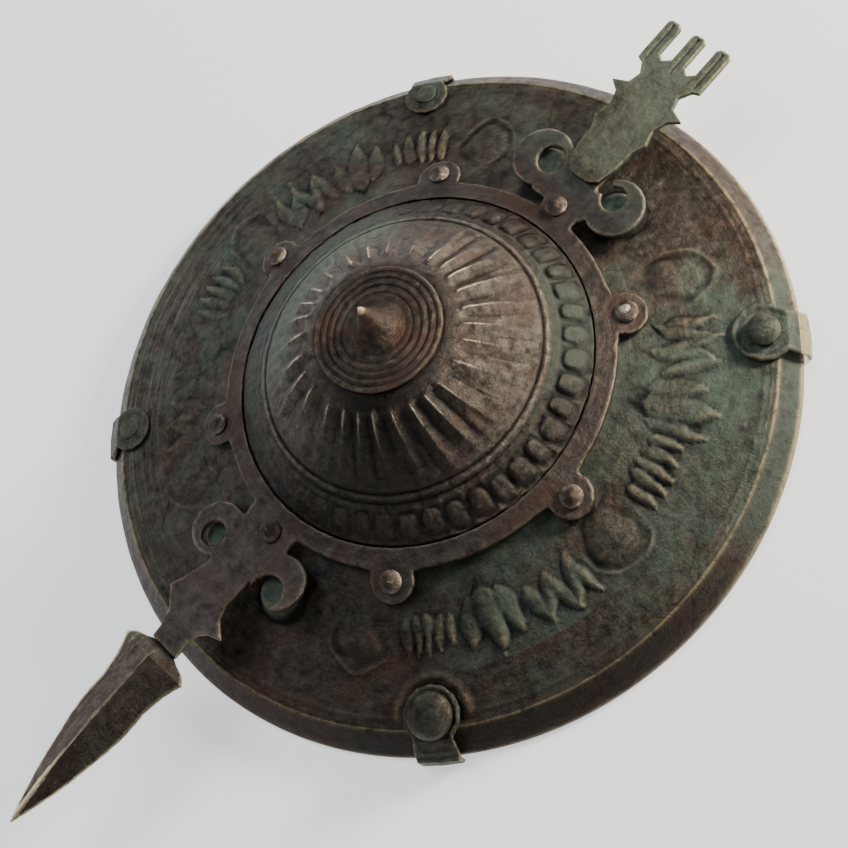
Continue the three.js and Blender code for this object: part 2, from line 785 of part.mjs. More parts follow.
// Clip: a sheet that lies on the field, bends over the rim's slope and turns down past its edge, cut
// to a round end, a neck and a wider fold
function makeClip({ angle, radius, spring }) {
  const inner = clipCircle - radius - 2;
  const slopeTop = ridgeRadius + 0.7 * ridgeCrown + 2 * spring;
  const slopeTopHeight = ridgeHeight + gap;
  const foldTop = rimEdgeHeight + 2 * gap + spring;
  const foldInside = rimRadius + gap + spring;
  const over = [
    [foldInside + clipThickness, gap],
    [foldInside + clipThickness, foldTop + 0.6 * clipThickness],
    [slopeTop + 0.5 * clipThickness, slopeTopHeight + clipThickness],
    [inner, fieldTop(inner) + gap + clipThickness],
  ];
  const under = [
    [inner, fieldTop(inner) + gap],
    [slopeTop, slopeTopHeight],
    [foldInside, foldTop],
    [foldInside, gap],
  ];
  const sheet = solid(skin([...over, ...under].map(([reach, height]) => ring(rimSides, reach, height))));
  const outer = foldInside + clipThickness + 2;
  const neck = ridgeRadius + 4;
  const outline = new THREE.Shape([
    ...arcPoints(clipCircle, 0, radius, 45, 315, 10),
    new THREE.Vector2(neck, -clipNeck),
    new THREE.Vector2(rimRadius, -clipFold),
    new THREE.Vector2(outer, -clipFold),
    new THREE.Vector2(outer, clipFold),
    new THREE.Vector2(rimRadius, clipFold),
    new THREE.Vector2(neck, clipNeck),
  ]);
  const cutter = solid(plate(outline, -gap, 3 * ridgeHeight).rotateZ(angle * degrees));
  return geometryOf(sheet.intersect(cutter).subtract(drill(onField(clipCircle, angle))));
}

// A clip's rivet sits on the sheet, higher where the sheet springs off the plate
function makeClipRivet({ spring, head, headHeight }) {
  const seat = 3 * gap + clipThickness + 0.7 * spring;
  return rivet(dome(head, headHeight), seat, -plateThickness - gap);
}

// Grip bar: a strip along x with its ends bent up against the underside of the body
function makeGripBar() {
  const under = (radius) => fieldTop(radius) - plateThickness - 2 * gap;
  const padOuter = rivetCircle + gripPadLength / 2;
  const padInner = rivetCircle - gripPadLength / 2;
  const top = [
    [padOuter, under(padOuter)],
    [rivetCircle, under(rivetCircle)],
    [padInner, under(padInner)],
    [padInner - gripBend, gripBarHeight + gripBarThickness],
  ];
  const upper = [...top, ...top.map(([x, z]) => [-x, z]).reverse()];
  const lower = upper.map(([x, z]) => [x, z - gripBarThickness]).reverse();
  const bar = solid(strip([...upper, ...lower], gripBarWidth));
  const holes = [0, 180].map((angle) => drill(onField(rivetCircle, angle, false)));
  return geometryOf(bar.subtract(wasm.Manifold.union(holes)));
}

// Grip sleeve: an oval grip with the bar through it, fuller in the middle
function makeGripSleeve() {
  const middle = gripBarHeight + gripBarThickness / 2;
  const section = (x, share) => arcPoints(0, 0, 1, 0, 337.5, 15).map((point) => new THREE.Vector3(
    x,
    (point.x * share * gripSleeveWidth) / 2,
    middle + (point.y * share * gripSleeveHeight) / 2,
  ));
  const slotWidth = gripBarWidth / 2 + gap;
  const slotHeight = gripBarThickness / 2 + gap;
  const slot = (x) => arcPoints(0, 0, 1, 45, 315, 3).map((point) => new THREE.Vector3(
    x,
    Math.sign(point.x) * slotWidth,
    middle + Math.sign(point.y) * slotHeight,
  ));
  const half = gripSleeveLength / 2;
  const rows = [[-1, 0.8], [-0.86, 0.92], [-0.4, 1], [0, 1.04], [0.4, 1], [0.86, 0.92], [1, 0.8]];
  const outside = rows.map(([place, share]) => section(place * half, share));
  return skin([...outside, slot(half), slot(-half)]);
}

const shield = new THREE.Group();
const aboutDisc = new THREE.Group();
aboutDisc.position.x = discX;
shield.add(aboutDisc);

function add(name, geometry, material) {
  const mesh = new THREE.Mesh(geometry, material);
  mesh.name = name;
  aboutDisc.add(mesh);
}

add('body', makeBody(), bronzeGreen);
add('boss', makeBoss(), bronzeBrown);
add('boss_cap', makeCap(), bronzeBrown);
add('ring_frame', makeFrame(), bronzeRed);
add('fork', makeFork(), forkBronze);
add('blade', makeBlade(), bladeBronze);
ringRivets.forEach(({ leans }, k) => {
  add(`ring_rivet_${k + 1}`, makeRingRivet(leans).applyMatrix4(ringPlaces[k]), rivetBronze);
});
clips.forEach((clip, k) => {
  add(`rim_clip_${k + 1}`, makeClip(clip), bronzeGreen);
  add(`clip_rivet_${k + 1}`, makeClipRivet(clip).applyMatrix4(clipPlaces[k]), rivetBronze);
});
add('grip_bar', makeGripBar(), bronzeRed);
add('grip_sleeve', makeGripSleeve(), gripLeather);

export default shield;
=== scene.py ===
import math

import bpy
import numpy as np
from mathutils import Matrix, Vector, kdtree


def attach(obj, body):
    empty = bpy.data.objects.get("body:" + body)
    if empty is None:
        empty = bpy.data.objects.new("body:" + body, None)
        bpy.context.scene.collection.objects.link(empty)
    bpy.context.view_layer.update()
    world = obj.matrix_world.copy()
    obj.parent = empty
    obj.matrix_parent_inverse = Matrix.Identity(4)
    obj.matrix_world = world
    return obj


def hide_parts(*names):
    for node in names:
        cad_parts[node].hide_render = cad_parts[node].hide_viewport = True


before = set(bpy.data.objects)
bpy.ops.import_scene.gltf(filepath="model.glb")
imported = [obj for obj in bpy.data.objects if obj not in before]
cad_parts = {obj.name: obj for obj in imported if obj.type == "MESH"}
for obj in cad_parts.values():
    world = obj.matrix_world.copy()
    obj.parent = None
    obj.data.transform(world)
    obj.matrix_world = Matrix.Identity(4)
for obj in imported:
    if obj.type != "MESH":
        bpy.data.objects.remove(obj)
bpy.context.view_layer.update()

# Camera. It looks down on the buckler, which lies on its rim with the boss up, from about 30 degrees
# off the upright, and is rolled so that the fork points to the upper right of the picture. Its
# distance is in metres, and the object's own sizes are in millimetres.
disc_x = 32.5
disc_middle = Vector((disc_x / 1000, 0, 0))
tilt = math.radians(29.85)
roll = math.radians(42.98)
turn = math.radians(6.68)
distance = 0.8
picture = 848
disc_pixel_x = 440.2
disc_pixel_y = 395.5
focal_pixels = 1810
level_right = Vector((math.cos(turn), -math.sin(turn), 0))
forward = Vector((math.sin(tilt) * math.sin(turn), math.sin(tilt) * math.cos(turn), -math.cos(tilt)))
level_up = level_right.cross(forward)
picture_right = math.cos(roll) * level_right - math.sin(roll) * level_up
picture_up = math.sin(roll) * level_right + math.cos(roll) * level_up
camera_data = bpy.data.cameras.new("camera")
camera_data.sensor_width = 36
camera_data.lens = focal_pixels / picture * camera_data.sensor_width
camera_data.shift_x = -(disc_pixel_x - picture / 2) / picture
camera_data.shift_y = (disc_pixel_y - picture / 2) / picture
camera = bpy.data.objects.new("camera", camera_data)
camera_place = Matrix((picture_right, picture_up, -forward)).transposed().to_4x4()
camera_place.translation = disc_middle - distance * forward
camera.matrix_world = camera_place
bpy.context.scene.collection.objects.link(camera)
bpy.context.scene.camera = camera


# Floor and lights. The floor is a plain white sheet, which glows a little so that it stays pale. A
# strong soft light stands over the picture's upper right, a weaker and larger one over its upper
# left, and the room itself is pale.
def linear(colour):
    """The shader's linear colour for an sRGB hex string."""
    channels = [int(colour[k:k + 2], 16) / 255 for k in (1, 3, 5)]
    levels = [c / 12.92 if c <= 0.04045 else ((c + 0.055) / 1.055) ** 2.4 for c in channels]
    return (*levels, 1.0)


def add(tree, kind, values=None, **settings):
    """Adds a node; settings are its properties, and values its sockets, which take a value or a link."""
    made = tree.nodes.new(kind)
    for key, value in settings.items():
        setattr(made, key, value)
    for socket, value in (values or {}).items():
        if isinstance(value, bpy.types.NodeSocket):
            tree.links.new(value, made.inputs[socket])
        else:
            made.inputs[socket].default_value = value
    return made


def material_tree(name):
    """A new material, with its tree and its Principled shader."""
    material = bpy.data.materials.new(name)
    material.use_nodes = True
    return material, material.node_tree, material.node_tree.nodes["Principled BSDF"]


floor_half = 20.0  # metres
floor_mesh = bpy.data.meshes.new("floor")
corners = [(-floor_half, -floor_half, 0), (floor_half, -floor_half, 0),
           (floor_half, floor_half, 0), (-floor_half, floor_half, 0)]
floor_mesh.from_pydata(corners, [], [(0, 1, 2, 3)])
floor = bpy.data.objects.new("floor", floor_mesh)
bpy.context.scene.collection.objects.link(floor)

# White paper: matt and even, with no shine
paper, tree, shader = material_tree("white_paper")
shader.inputs["Base Color"].default_value = linear("#fafaf9")
shader.inputs["Roughness"].default_value = 0.9
shader.inputs["Emission Color"].default_value = linear("#ffffff")
shader.inputs["Emission Strength"].default_value = 0.8
floor_mesh.materials.append(paper)

world = bpy.data.worlds.new("pale_room")
world.use_nodes = True
world.node_tree.nodes["Background"].inputs["Color"].default_value = linear("#f4f5f7")
world.node_tree.nodes["Background"].inputs["Strength"].default_value = 0.22
bpy.context.scene.world = world


def soft_light(name, right, up, back, size, power, colour):
    """A square light that faces the disc, with its place and its size in metres. The place is counted
    from the disc's middle to the picture's right, up the picture, and back towards the camera."""
    data = bpy.data.lights.new(name, "AREA")
    data.energy = power
    data.size = size
    data.color = linear(colour)[:3]
    lamp = bpy.data.objects.new(name, data)
    lamp.location = disc_middle + right * picture_right + up * picture_up - back * forward
    lamp.rotation_euler = (lamp.location - disc_middle).to_track_quat("Z", "Y").to_euler()
    bpy.context.scene.collection.objects.link(lamp)


soft_light("window_light", right=0.92, up=0.84, back=0.5, size=0.3, power=33, colour="#fff6ea")
soft_light("side_light", right=-0.85, up=0.7, back=0.55, size=0.6, power=6.5, colour="#e8f1ff")


# Body plate. The real one is a dished disc of cast bronze, chased with leaves, fans, roundels and
# chevrons in a band between the boss's frame and the turned rim, and pierced under the boss.
rim_radius = 160.0
ridge_radius = 151.0
ridge_height = 12.0
field_inner = 80.4
field_rise = 17.8
field_sag = 0.08
plate_thickness = 2.0
hand_opening = 72.0
clip_circle = 146.0


def field_top(radius):
    """Height of the plate's face at a distance from its axis."""
    out = (radius - field_inner) / (ridge_radius - field_inner)
    return ridge_height + field_rise * (1 - out - field_sag * 4 * out * (1 - out))


def field_fall(radius):
    """How fast the face falls outwards there."""
    return field_top(radius - 0.5) - field_top(radius + 0.5)


def swell(share):
    """A soft mound, 1 where share is 0 and 0 from where it is 1."""
    t = np.clip(1 - np.abs(share), 0, 1)
    return t * t * (3 - 2 * t)


def unevenness(x, y, size, seed):
    """Smooth random waves from -1 to 1, with hills about size apart, for hand work and casting."""
    cells = 64
    lattice = np.random.default_rng(seed).uniform(-1, 1, (cells, cells))
    u = np.asarray(x) / size
    v = np.asarray(y) / size
    i = np.floor(u).astype(int)
    j = np.floor(v).astype(int)
    s = u - i
    t = v - j
    s = s * s * (3 - 2 * s)
    t = t * t * (3 - 2 * t)
    near = lattice[i % cells, j % cells] * (1 - s) + lattice[(i + 1) % cells, j % cells] * s
    far = lattice[i % cells, (j + 1) % cells] * (1 - s) + lattice[(i + 1) % cells, (j + 1) % cells] * s
    return near * (1 - t) + far * t


def skin(name, rings, ends=False):
    """One mesh from rings of points in millimetres about the disc's axis. The last ring joins the
    first, or with ends each end is closed by a face."""
    rows, sides, _ = rings.shape
    points = rings.reshape(-1, 3) / 1000
    points[:, 0] += disc_x / 1000
    row = np.arange(rows - 1 if ends else rows)[:, None]
    here = np.arange(sides)[None, :]
    beside = (here + 1) % sides
    above = (row + 1) % rows
    corners = [row * sides + here, row * sides + beside, above * sides + beside, above * sides + here]
    faces = np.stack(corners, -1).reshape(-1, 4).tolist()
    if ends:
        faces.append(list(range(sides))[::-1])
        faces.append(list(range((rows - 1) * sides, rows * sides)))
    mesh = bpy.data.meshes.new(name)
    mesh.from_pydata(points.tolist(), [], faces)
    mesh.shade_smooth()
    return mesh


def polar(radii, heights, sides):
    """Rings of points from one radius and one height per row, or from a grid of heights."""
    angle = np.linspace(0, 2 * np.pi, sides, endpoint=False)[None, :]
    radius = np.asarray(radii, float)[:, None] * np.ones_like(angle)
    height = np.asarray(heights, float)
    if height.ndim == 1:
        height = height[:, None] * np.ones_like(angle)
    return np.stack([radius * np.cos(angle), radius * np.sin(angle), height], -1)


def read(mesh, kind):
    """The x, y and z of each point, where kind is co, or of its normal, where it is normal."""
    values = np.empty(len(mesh.vertices) * 3)
    mesh.vertices.foreach_get(kind, values)
    return values.reshape(-1, 3)


def plan(mesh):
    """The x, y and z of a mesh's points in millimetres about the disc's axis."""
    points = read(mesh, "co") * 1000
    points[:, 0] -= disc_x
    return points


def note(mesh, name, values):
    """Stores a number on each point, or one number on all, which the materials read by its name."""
    field = mesh.attributes.new(name, "FLOAT", "POINT")
    field.data.foreach_set("value", np.full(len(mesh.vertices), values, np.float32))


def note_form(mesh, worked=1.0):
    """Stores on each point how far it stands proud of the surface close by, as edge, and of the wider
    surface round it, as stand, in millimetres. The materials wear the metal bright where it is proud
    and darken it with dirt and painted shade where it lies low. Worked is 0 on points that nothing
    rubs and 1 on the rest."""
    near_steps = 2
    wide_steps = 14
    count = len(mesh.vertices)
    points = read(mesh, "co") * 1000
    normals = read(mesh, "normal")
    ends = np.empty(len(mesh.edges) * 2, int)
    mesh.edges.foreach_get("vertices", ends)
    a = ends[0::2]
    b = ends[1::2]
    weight = np.bincount(a, minlength=count) + np.bincount(b, minlength=count)
    levelled = points.copy()
    for step in range(1, wide_steps + 1):
        total = np.empty_like(levelled)
        for axis in range(3):
            total[:, axis] = np.bincount(a, levelled[b, axis], count)
            total[:, axis] += np.bincount(b, levelled[a, axis], count)
        levelled = total / weight[:, None]
        if step in (near_steps, wide_steps):
            proud = ((points - levelled) * normals).sum(1) * worked
            note(mesh, "edge" if step == near_steps else "stand", proud)


def put(name, mesh, material, slot, *nodes):
    """Stands a finished mesh in the scene for its CAD nodes."""
    piece = bpy.data.objects.new(name, mesh)
    bpy.context.scene.collection.objects.link(piece)
    mesh.materials.clear()
    mesh.materials.append(material)
    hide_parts(*nodes)
    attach(piece, "root")


def bronze(name, metal, shade, patina, stain, worn_and_highlight, rough, patina_low, grain=1.0, cracks=0.0,
           lengthwise=False):
    """Cast bronze with an old surface. Metal and shade are its own browns, patina the green that the
    mesh's green attribute brings out, stain a red oxide, and the pale worn colour is rubbed metal and
    painted highlight, which a wear attribute brings out on its edges, or all over where that is above
    2. A painted-shade attribute darkens it with painted shade, and brushed draws pale scratches over
    it. They run round the disc, or along the piece when lengthwise."""
    dirt_and_shade_black = "#0f0d0b"
    painted_shade_black = "#141310"
    brushed_grey = "#a09c8e"
    blotch_size = 24.0 / grain
    mottle_size = 4.8 / grain
    oxide_size = 28.0 / grain
    crack_apart = 16.0
    # A casting's grit is really about 0.2 mm, and is drawn as coarse as it needs to show
    grit_size = 1.0
    material, tree, shader = material_tree(name)
    place = add(tree, "ShaderNodeTexCoord").outputs["Object"]
    green, edge, stand, wear_and_highlight, brushed, painted_shade = [
        add(tree, "ShaderNodeAttribute", attribute_name=field).outputs["Fac"]
        for field in ("green", "edge", "stand", "wear_and_highlight", "brushed", "painted_shade")]
    blotches = add(tree, "ShaderNodeTexNoise", {
        "Vector": place, "Scale": 1000 / blotch_size, "Detail": 10, "Roughness": 0.66})
    mottle = add(tree, "ShaderNodeTexNoise", {
        "Vector": place, "Scale": 1000 / mottle_size, "Detail": 9, "Roughness": 0.72})
    oxide = add(tree, "ShaderNodeTexNoise", {
        "Vector": place, "Scale": 1000 / oxide_size, "Detail": 8, "Roughness": 0.6, "Distortion": 0.5})
    grit = add(tree, "ShaderNodeTexNoise", {
        "Vector": place, "Scale": 1000 / grit_size, "Detail": 6, "Roughness": 0.7})
    # Scratches are really about 0.2 mm apart, and are drawn as coarse as they need to show
    if lengthwise:
        scratch_long = 33.0
        scratch_apart = 1.4
        run = add(tree, "ShaderNodeVectorMath", {
            0: place, 1: (1000 / scratch_long, 1000 / scratch_apart, 1000 / scratch_apart)},
            operation="MULTIPLY")
    else:
        # Over a bearing in radians, so a scratch is about 38 mm long at 130 mm from the axis
        scratches_per_radian = 3.4
        scratch_apart = 1.1
        sides = add(tree, "ShaderNodeSeparateXYZ", {"Vector": place})
        beside = add(tree, "ShaderNodeMath", {0: sides.outputs[0], 1: -disc_x / 1000}, operation="ADD")
        bearing = add(tree, "ShaderNodeMath", {0: sides.outputs[1], 1: beside.outputs[0]},
                      operation="ARCTAN2")
        flat = add(tree, "ShaderNodeCombineXYZ", {0: beside.outputs[0], 1: sides.outputs[1]})
        reach = add(tree, "ShaderNodeVectorMath", {0: flat.outputs[0]}, operation="LENGTH")
        long_way = add(tree, "ShaderNodeMath", {0: bearing.outputs[0], 1: scratches_per_radian},
                       operation="MULTIPLY")
        short_way = add(tree, "ShaderNodeMath", {0: reach.outputs["Value"], 1: 1000 / scratch_apart},
                        operation="MULTIPLY")
        run = add(tree, "ShaderNodeCombineXYZ", {0: long_way.outputs[0], 1: short_way.outputs[0]})
    scratches = add(tree, "ShaderNodeTexNoise", {
        "Vector": run.outputs[0], "Scale": 1.0, "Detail": 5, "Roughness": 0.6, "Distortion": 0.3})

    # How much of each layer shows at a place
    scratched = add(tree, "ShaderNodeMapRange", {
        "Value": scratches.outputs["Fac"], "From Min": 0.2, "From Max": 0.8, "To Min": -0.07,
        "To Max": 0.07})
    tone = add(tree, "ShaderNodeMath", {0: mottle.outputs["Fac"], 1: scratched.outputs[0]},
               operation="ADD")
    browns = add(tree, "ShaderNodeMapRange", {
        "Value": tone.outputs[0], "From Min": 0.34, "From Max": 0.66})
    redder = add(tree, "ShaderNodeMath", {0: green, 1: -0.24, 2: oxide.outputs["Fac"]},
                 operation="MULTIPLY_ADD")
    reds = add(tree, "ShaderNodeMapRange", {
        "Value": redder.outputs[0], "From Min": 0.5, "From Max": 0.66, "To Max": 0.62})
    spread = add(tree, "ShaderNodeMath", {0: blotches.outputs["Fac"], 1: green}, operation="ADD")
    verdigris = add(tree, "ShaderNodeMapRange", {
        "Value": spread.outputs[0], "From Min": patina_low, "From Max": patina_low + 0.3,
        "To Max": 0.85})
    thin = add(tree, "ShaderNodeMapRange", {
        "Value": mottle.outputs["Fac"], "From Min": 0.3, "From Max": 0.6, "To Min": 0.55})
    crust = add(tree, "ShaderNodeMath", {0: verdigris.outputs[0], 1: thin.outputs[0]},
                operation="MULTIPLY")
    # Dark dirt and painted shade fill the hollows, where the surface lies below its surroundings
    hollow = add(tree, "ShaderNodeMapRange", {
        "Value": stand, "From Min": 0.0, "From Max": -0.55, "To Max": 0.92})
    broken = add(tree, "ShaderNodeMapRange", {
        "Value": tone.outputs[0], "From Min": 0.34, "From Max": 0.54})
    crest = add(tree, "ShaderNodeMath", {0: stand, 1: 0.25, 2: edge}, operation="MULTIPLY_ADD")
    proud = add(tree, "ShaderNodeMapRange", {
        "Value": crest.outputs[0], "From Min": 0.06, "From Max": 0.32})
    bright = add(tree, "ShaderNodeMath", {0: proud.outputs[0], 1: broken.outputs[0]},
                 operation="MULTIPLY")
    # Above 2 the pale colour covers the surface: bare metal in places, and elsewhere a painted highlight
    full_wear_and_highlight = add(tree, "ShaderNodeMapRange", {"Value": wear_and_highlight, "From Min": 2.0, "From Max": 3.0})
    shine = add(tree, "ShaderNodeMath", {0: bright.outputs[0], 1: wear_and_highlight, 2: full_wear_and_highlight.outputs[0]},
                operation="MULTIPLY_ADD", use_clamp=True)
    streak = add(tree, "ShaderNodeMapRange", {
        "Value": scratches.outputs["Fac"], "From Min": 0.46, "From Max": 0.74, "To Max": 0.42})
    brushing = add(tree, "ShaderNodeMath", {0: streak.outputs[0], 1: brushed}, operation="MULTIPLY")
    layers = [(browns, metal), (reds, stain), (crust, patina), (hollow, dirt_and_shade_black), (shine, worn_and_highlight),
              (brushing, brushed_grey)]
    if cracks:
        cell_place = add(tree, "ShaderNodeMix", {0: 0.014, 4: place, 5: blotches.outputs["Color"]},
                         data_type="VECTOR")
        cells = add(tree, "ShaderNodeTexVoronoi", {
            "Vector": cell_place.outputs[1], "Scale": 1000 / crack_apart}, feature="DISTANCE_TO_EDGE")
        line = add(tree, "ShaderNodeMapRange", {
            "Value": cells.outputs["Distance"], "From Min": 0.022, "From Max": 0.0, "To Max": cracks})
        some = add(tree, "ShaderNodeMapRange", {
            "Value": oxide.outputs["Fac"], "From Min": 0.44, "From Max": 0.5})
        crack = add(tree, "ShaderNodeMath", {0: line.outputs[0], 1: some.outputs[0]},
                    operation="MULTIPLY")
        layers.append((crack, dirt_and_shade_black))
    # Painted shade darkens the places the mesh marks, a little less where the mottle is dark
    painted_shade_layer = add(tree, "ShaderNodeMath", {0: painted_shade, 1: thin.outputs[0]}, operation="MULTIPLY")
    layers.append((painted_shade_layer, painted_shade_black))

    # The layers lie over one another on the shaded metal
    under = linear(shade)
    for shown, colour in layers:
        layer = add(tree, "ShaderNodeMix", {0: shown.outputs[0], 6: under, 7: linear(colour)},
                    data_type="RGBA")
        under = layer.outputs[2]
    tree.links.new(under, shader.inputs["Base Color"])

    # Crust is dull, and rubbed metal smooth
    bare = add(tree, "ShaderNodeMapRange", {"Value": crust.outputs[0], "To Min": 0.85, "To Max": 0.25})
    tree.links.new(bare.outputs[0], shader.inputs["Metallic"])
    matt = add(tree, "ShaderNodeMapRange", {
        "Value": tone.outputs[0], "From Min": 0.25, "From Max": 0.7, "To Min": rough + 0.14,
        "To Max": rough - 0.08})
    crusted = add(tree, "ShaderNodeMath", {0: crust.outputs[0], 1: 0.2, 2: matt.outputs[0]},
                  operation="MULTIPLY_ADD")
    polished = add(tree, "ShaderNodeMath", {0: shine.outputs[0], 1: -0.1, 2: crusted.outputs[0]},
                   operation="MULTIPLY_ADD")
    tree.links.new(polished.outputs[0], shader.inputs["Roughness"])
    normal = None
    for strength, depth, height in ((0.4, 0.4, grit), (0.12, 0.6, scratches), (0.75, 1.3, mottle)):
        bump = add(tree, "ShaderNodeBump", {
            "Strength": strength, "Distance": depth / 1000, "Height": height.outputs["Fac"]})
        if normal is not None:
            tree.links.new(normal, bump.inputs["Normal"])
        normal = bump.outputs[0]
    tree.links.new(normal, shader.inputs["Normal"])
    return material


motif_places = 24
motif_circle = 118.25
root_width = 36.2


def chased(share, tall):
    """A soft mound inside an outline, where share is 1, with the chaser's dark crease round it."""
    crease_depth = 0.4
    crease = -crease_depth * swell((share - 1.16) / 0.26)
    return np.where(share < 1, tall * np.clip(1 - share * share, 0, 1) ** 0.8, crease)


def joined(forms):
    """The highest of the forms, and the deepest of their creases where no form stands."""
    high = np.maximum.reduce(forms)
    return np.where(high > 0, high, np.minimum.reduce(forms))


def lance(along, across, length, width, tall, middle=0.0, apart=0.0, turned=0.0):
    """One raised leaf, pointed outwards and rounder inwards. Its own middle lies farther out than the
    motif's by middle and beside it by apart, and it is turned that many degrees."""
    a = math.radians(turned)
    u = ((along - middle) * math.cos(a) + (across - apart) * math.sin(a)) / (length / 2)
    v = (across - apart) * math.cos(a) - (along - middle) * math.sin(a)
    half = width / 2 * np.clip(1 - np.abs(u + 0.12) ** 2.4, 0.02, 1) ** 0.8 * (1 - 0.22 * u)
    return chased(np.hypot(v / half, np.clip(np.abs(u) - 0.6, 0, None) / 0.5), tall)


def leaf(along, across):
    """A long leaf between two shorter ones that spread from its foot."""
    pair = [lance(along, across, 24, 7.6, 1.5, middle=-1.5, apart=8.6 * k, turned=13 * k)
            for k in (-1, 1)]
    return joined([lance(along, across, 32, 12, 2.2), *pair])


def fan(along, across):
    """Five strokes side by side, a little spread."""
    return joined([
        lance(along, across, 21 - 1.8 * abs(k), 5.2, 1.8, middle=-0.8 * abs(k), apart=5.5 * k,
              turned=3.5 * k)
        for k in (-2, -1, 0, 1, 2)])


def roundel(along, across):
    """A large oval mound, and a thin crescent on its outer side."""
    half_long = 11.6
    half_wide = 9.8
    inward = 2
    reach = np.hypot((along + inward) / half_long, across / half_wide)
    side = swell(np.arctan2(across, along + inward) / math.radians(110))
    crescent = side ** 0.5 * swell((reach - 1.38) / 0.13)
    mound = chased(reach, 2.7)
    return np.where(crescent > 0.05, crescent, mound)


def chevrons(along, across):
    """Hanging leaves that lean together in pairs."""
    return joined([
        lance(along, across, 27 - 1.8 * abs(k), 6.6, 1.9, middle=0.6 - 2.4 * (k % 2),
              apart=5.6 * k, turned=15 * (-1) ** k)
        for k in (-2, -1, 0, 1, 2)])


def ornament(radius, angle):
    """Height of the chased band over the plain face. The work is uneven, as it is done by hand, and
    the motifs under the frame's two roots are left out."""
    motif_half_wide = 16
    motif_half_long = 19
    draw = np.random.default_rng(11)
    motifs = (leaf, chevrons, roundel, fan)
    x = radius * np.cos(angle)
    y = radius * np.sin(angle)
    drift_out = 1.8 * unevenness(x, y, 13, 12) + 0.7 * unevenness(x, y, 5, 13)
    drift_side = 1.8 * unevenness(x, y, 13, 14) + 0.7 * unevenness(x, y, 5, 15)
    height = np.zeros_like(radius)
    for place in range(motif_places):
        middle = 2 * math.pi * place / motif_places
        lean = draw.uniform(-0.02, 0.02)
        full = draw.uniform(0.75, 1.1)
        inward = draw.uniform(0.5, 3.0)
        longer = draw.uniform(0.86, 1.12)
        wider = draw.uniform(0.88, 1.12)
        if abs(math.sin(middle)) * motif_circle < root_width:
            continue
        along = (radius * np.cos(angle - middle - lean) - motif_circle + inward + drift_out) / longer
        across = (radius * np.sin(angle - middle - lean) + drift_side) / wider
        near = (np.abs(across) < motif_half_wide) & (np.abs(along) < motif_half_long)
        height[near] = joined([height[near], full * motifs[place % 4](along[near], across[near])])
    return height * (0.78 + 0.3 * unevenness(x, y, 17, 17))


# The x, y and radius of the pads under the four scrolls
scroll_floors = ((107, 20.5, 10.5), (107.5, -20, 10.5), (-108, 20.5, 9.5), (-109.5, -18.5, 9.5))
pad_flat = 6
pad_height = 28.6


def off_bearing(bearing, middle):
    """How far a bearing is from a middle one, from -180 to 180 degrees. Bearings are counted about the
    disc's axis from the fork, towards the upper left of the picture."""
    return np.mod(bearing - middle + 180, 360) - 180


def plate_face(radius, angle):
    """The whole face: the dish, its chased band, worn low on the far left, the thin bead inside the
    ridge, the moulding round the near clip, and the pads inside the frame's four scrolls."""
    bead_radius = 146.4
    bead_half = 1.6
    moulding_radius = 15.5
    moulding_half = 3.6
    moulding_height = 1.1
    near_clip = math.radians(225)
    x = radius * np.cos(angle)
    y = radius * np.sin(angle)
    wear = 0.82 - 0.42 * swell((np.mod(np.degrees(angle), 360) - 135) / 100)
    height = field_top(radius) + wear * ornament(radius, angle)
    height += 0.25 * swell((radius - bead_radius) / bead_half)
    height += 0.34 * unevenness(x, y, 13, 2) + 0.2 * unevenness(x, y, 5, 3)
    height += 0.09 * unevenness(x, y, 2.2, 4)
    beside = np.hypot(x - clip_circle * math.cos(near_clip), y - clip_circle * math.sin(near_clip))
    inside_ridge = np.clip((149 - radius) / 3, 0, 1)
    height += moulding_height * swell((beside - moulding_radius) / moulding_half) * inside_ridge
    for pad_x, pad_y, pad_radius in scroll_floors:
        reach = np.hypot(x - pad_x, y - pad_y)
        rise = swell(np.clip((reach - pad_flat) / (pad_radius - 4.5), 0, 1))
        pad_top = pad_height + 0.3 * unevenness(x, y, 3, 16)
        height = np.maximum(height, height + rise * (pad_top - height))
    return height


# The fine rows carry the ornament, and the coarse ones lie under the frame's ring
sides = 760
angles = np.linspace(0, 2 * np.pi, sides, endpoint=False)
fine = np.linspace(149.4, 101, 82)
coarse = np.linspace(99, 72.6, 9)
radii = np.concatenate([fine, coarse])
grid_radius = radii[:, None] * np.ones((1, sides))
grid_angle = np.ones((len(radii), 1)) * angles[None, :]
face = plate_face(grid_radius, grid_angle)
edge_wave = 0.25 * unevenness(rim_radius * np.cos(angles), rim_radius * np.sin(angles), 6, 8)
rim_radii = [rim_radius, rim_radius, 159.8, 159.3, 158.4, 157.2, 155.8, 154.3, 153.2, 152.4, 151.8,
             151.1, 150.4]
rim_heights = [0, 2.3, 2.9, 3.5, 4.6, 5.9, 7.45, 9.1, 10.35, 11.2, 11.75, 11.98, ridge_height]
rim = polar(rim_radii, rim_heights, sides)
rim_share = np.array([0, 1, 1, 1, 1, 1, 1, 1, 1, 1, 0.7, 0.6, 0.6])[:, None]
rim[:, :, 2] += rim_share * (edge_wave[None, :] - 0.12)
back_radii = [hand_opening, 72.2, 86, 103, 118, 134, 145, 149.4, 151.4, 153.6, 155.6, 156.6]
under_field = [field_top(r) - plate_thickness for r in back_radii[1:7]]
back_heights = [field_top(hand_opening) - 1, *under_field, 10.0, 7.7, 4.9, 1.7, 0]
rings = np.concatenate([rim, polar(radii, face, sides), polar(back_radii, back_heights, sides)])
body_mesh = skin("body_bronze", rings)
face_rows = len(rim_radii) + len(radii)
note_form(body_mesh, np.arange(len(rings) * sides) < face_rows * sides)
p = plan(body_mesh)
bearing = np.degrees(np.arctan2(p[:, 1], p[:, 0])) % 360
reach = np.hypot(p[:, 0], p[:, 1])
outer_field = reach > 112
on_rim = reach > 151.6

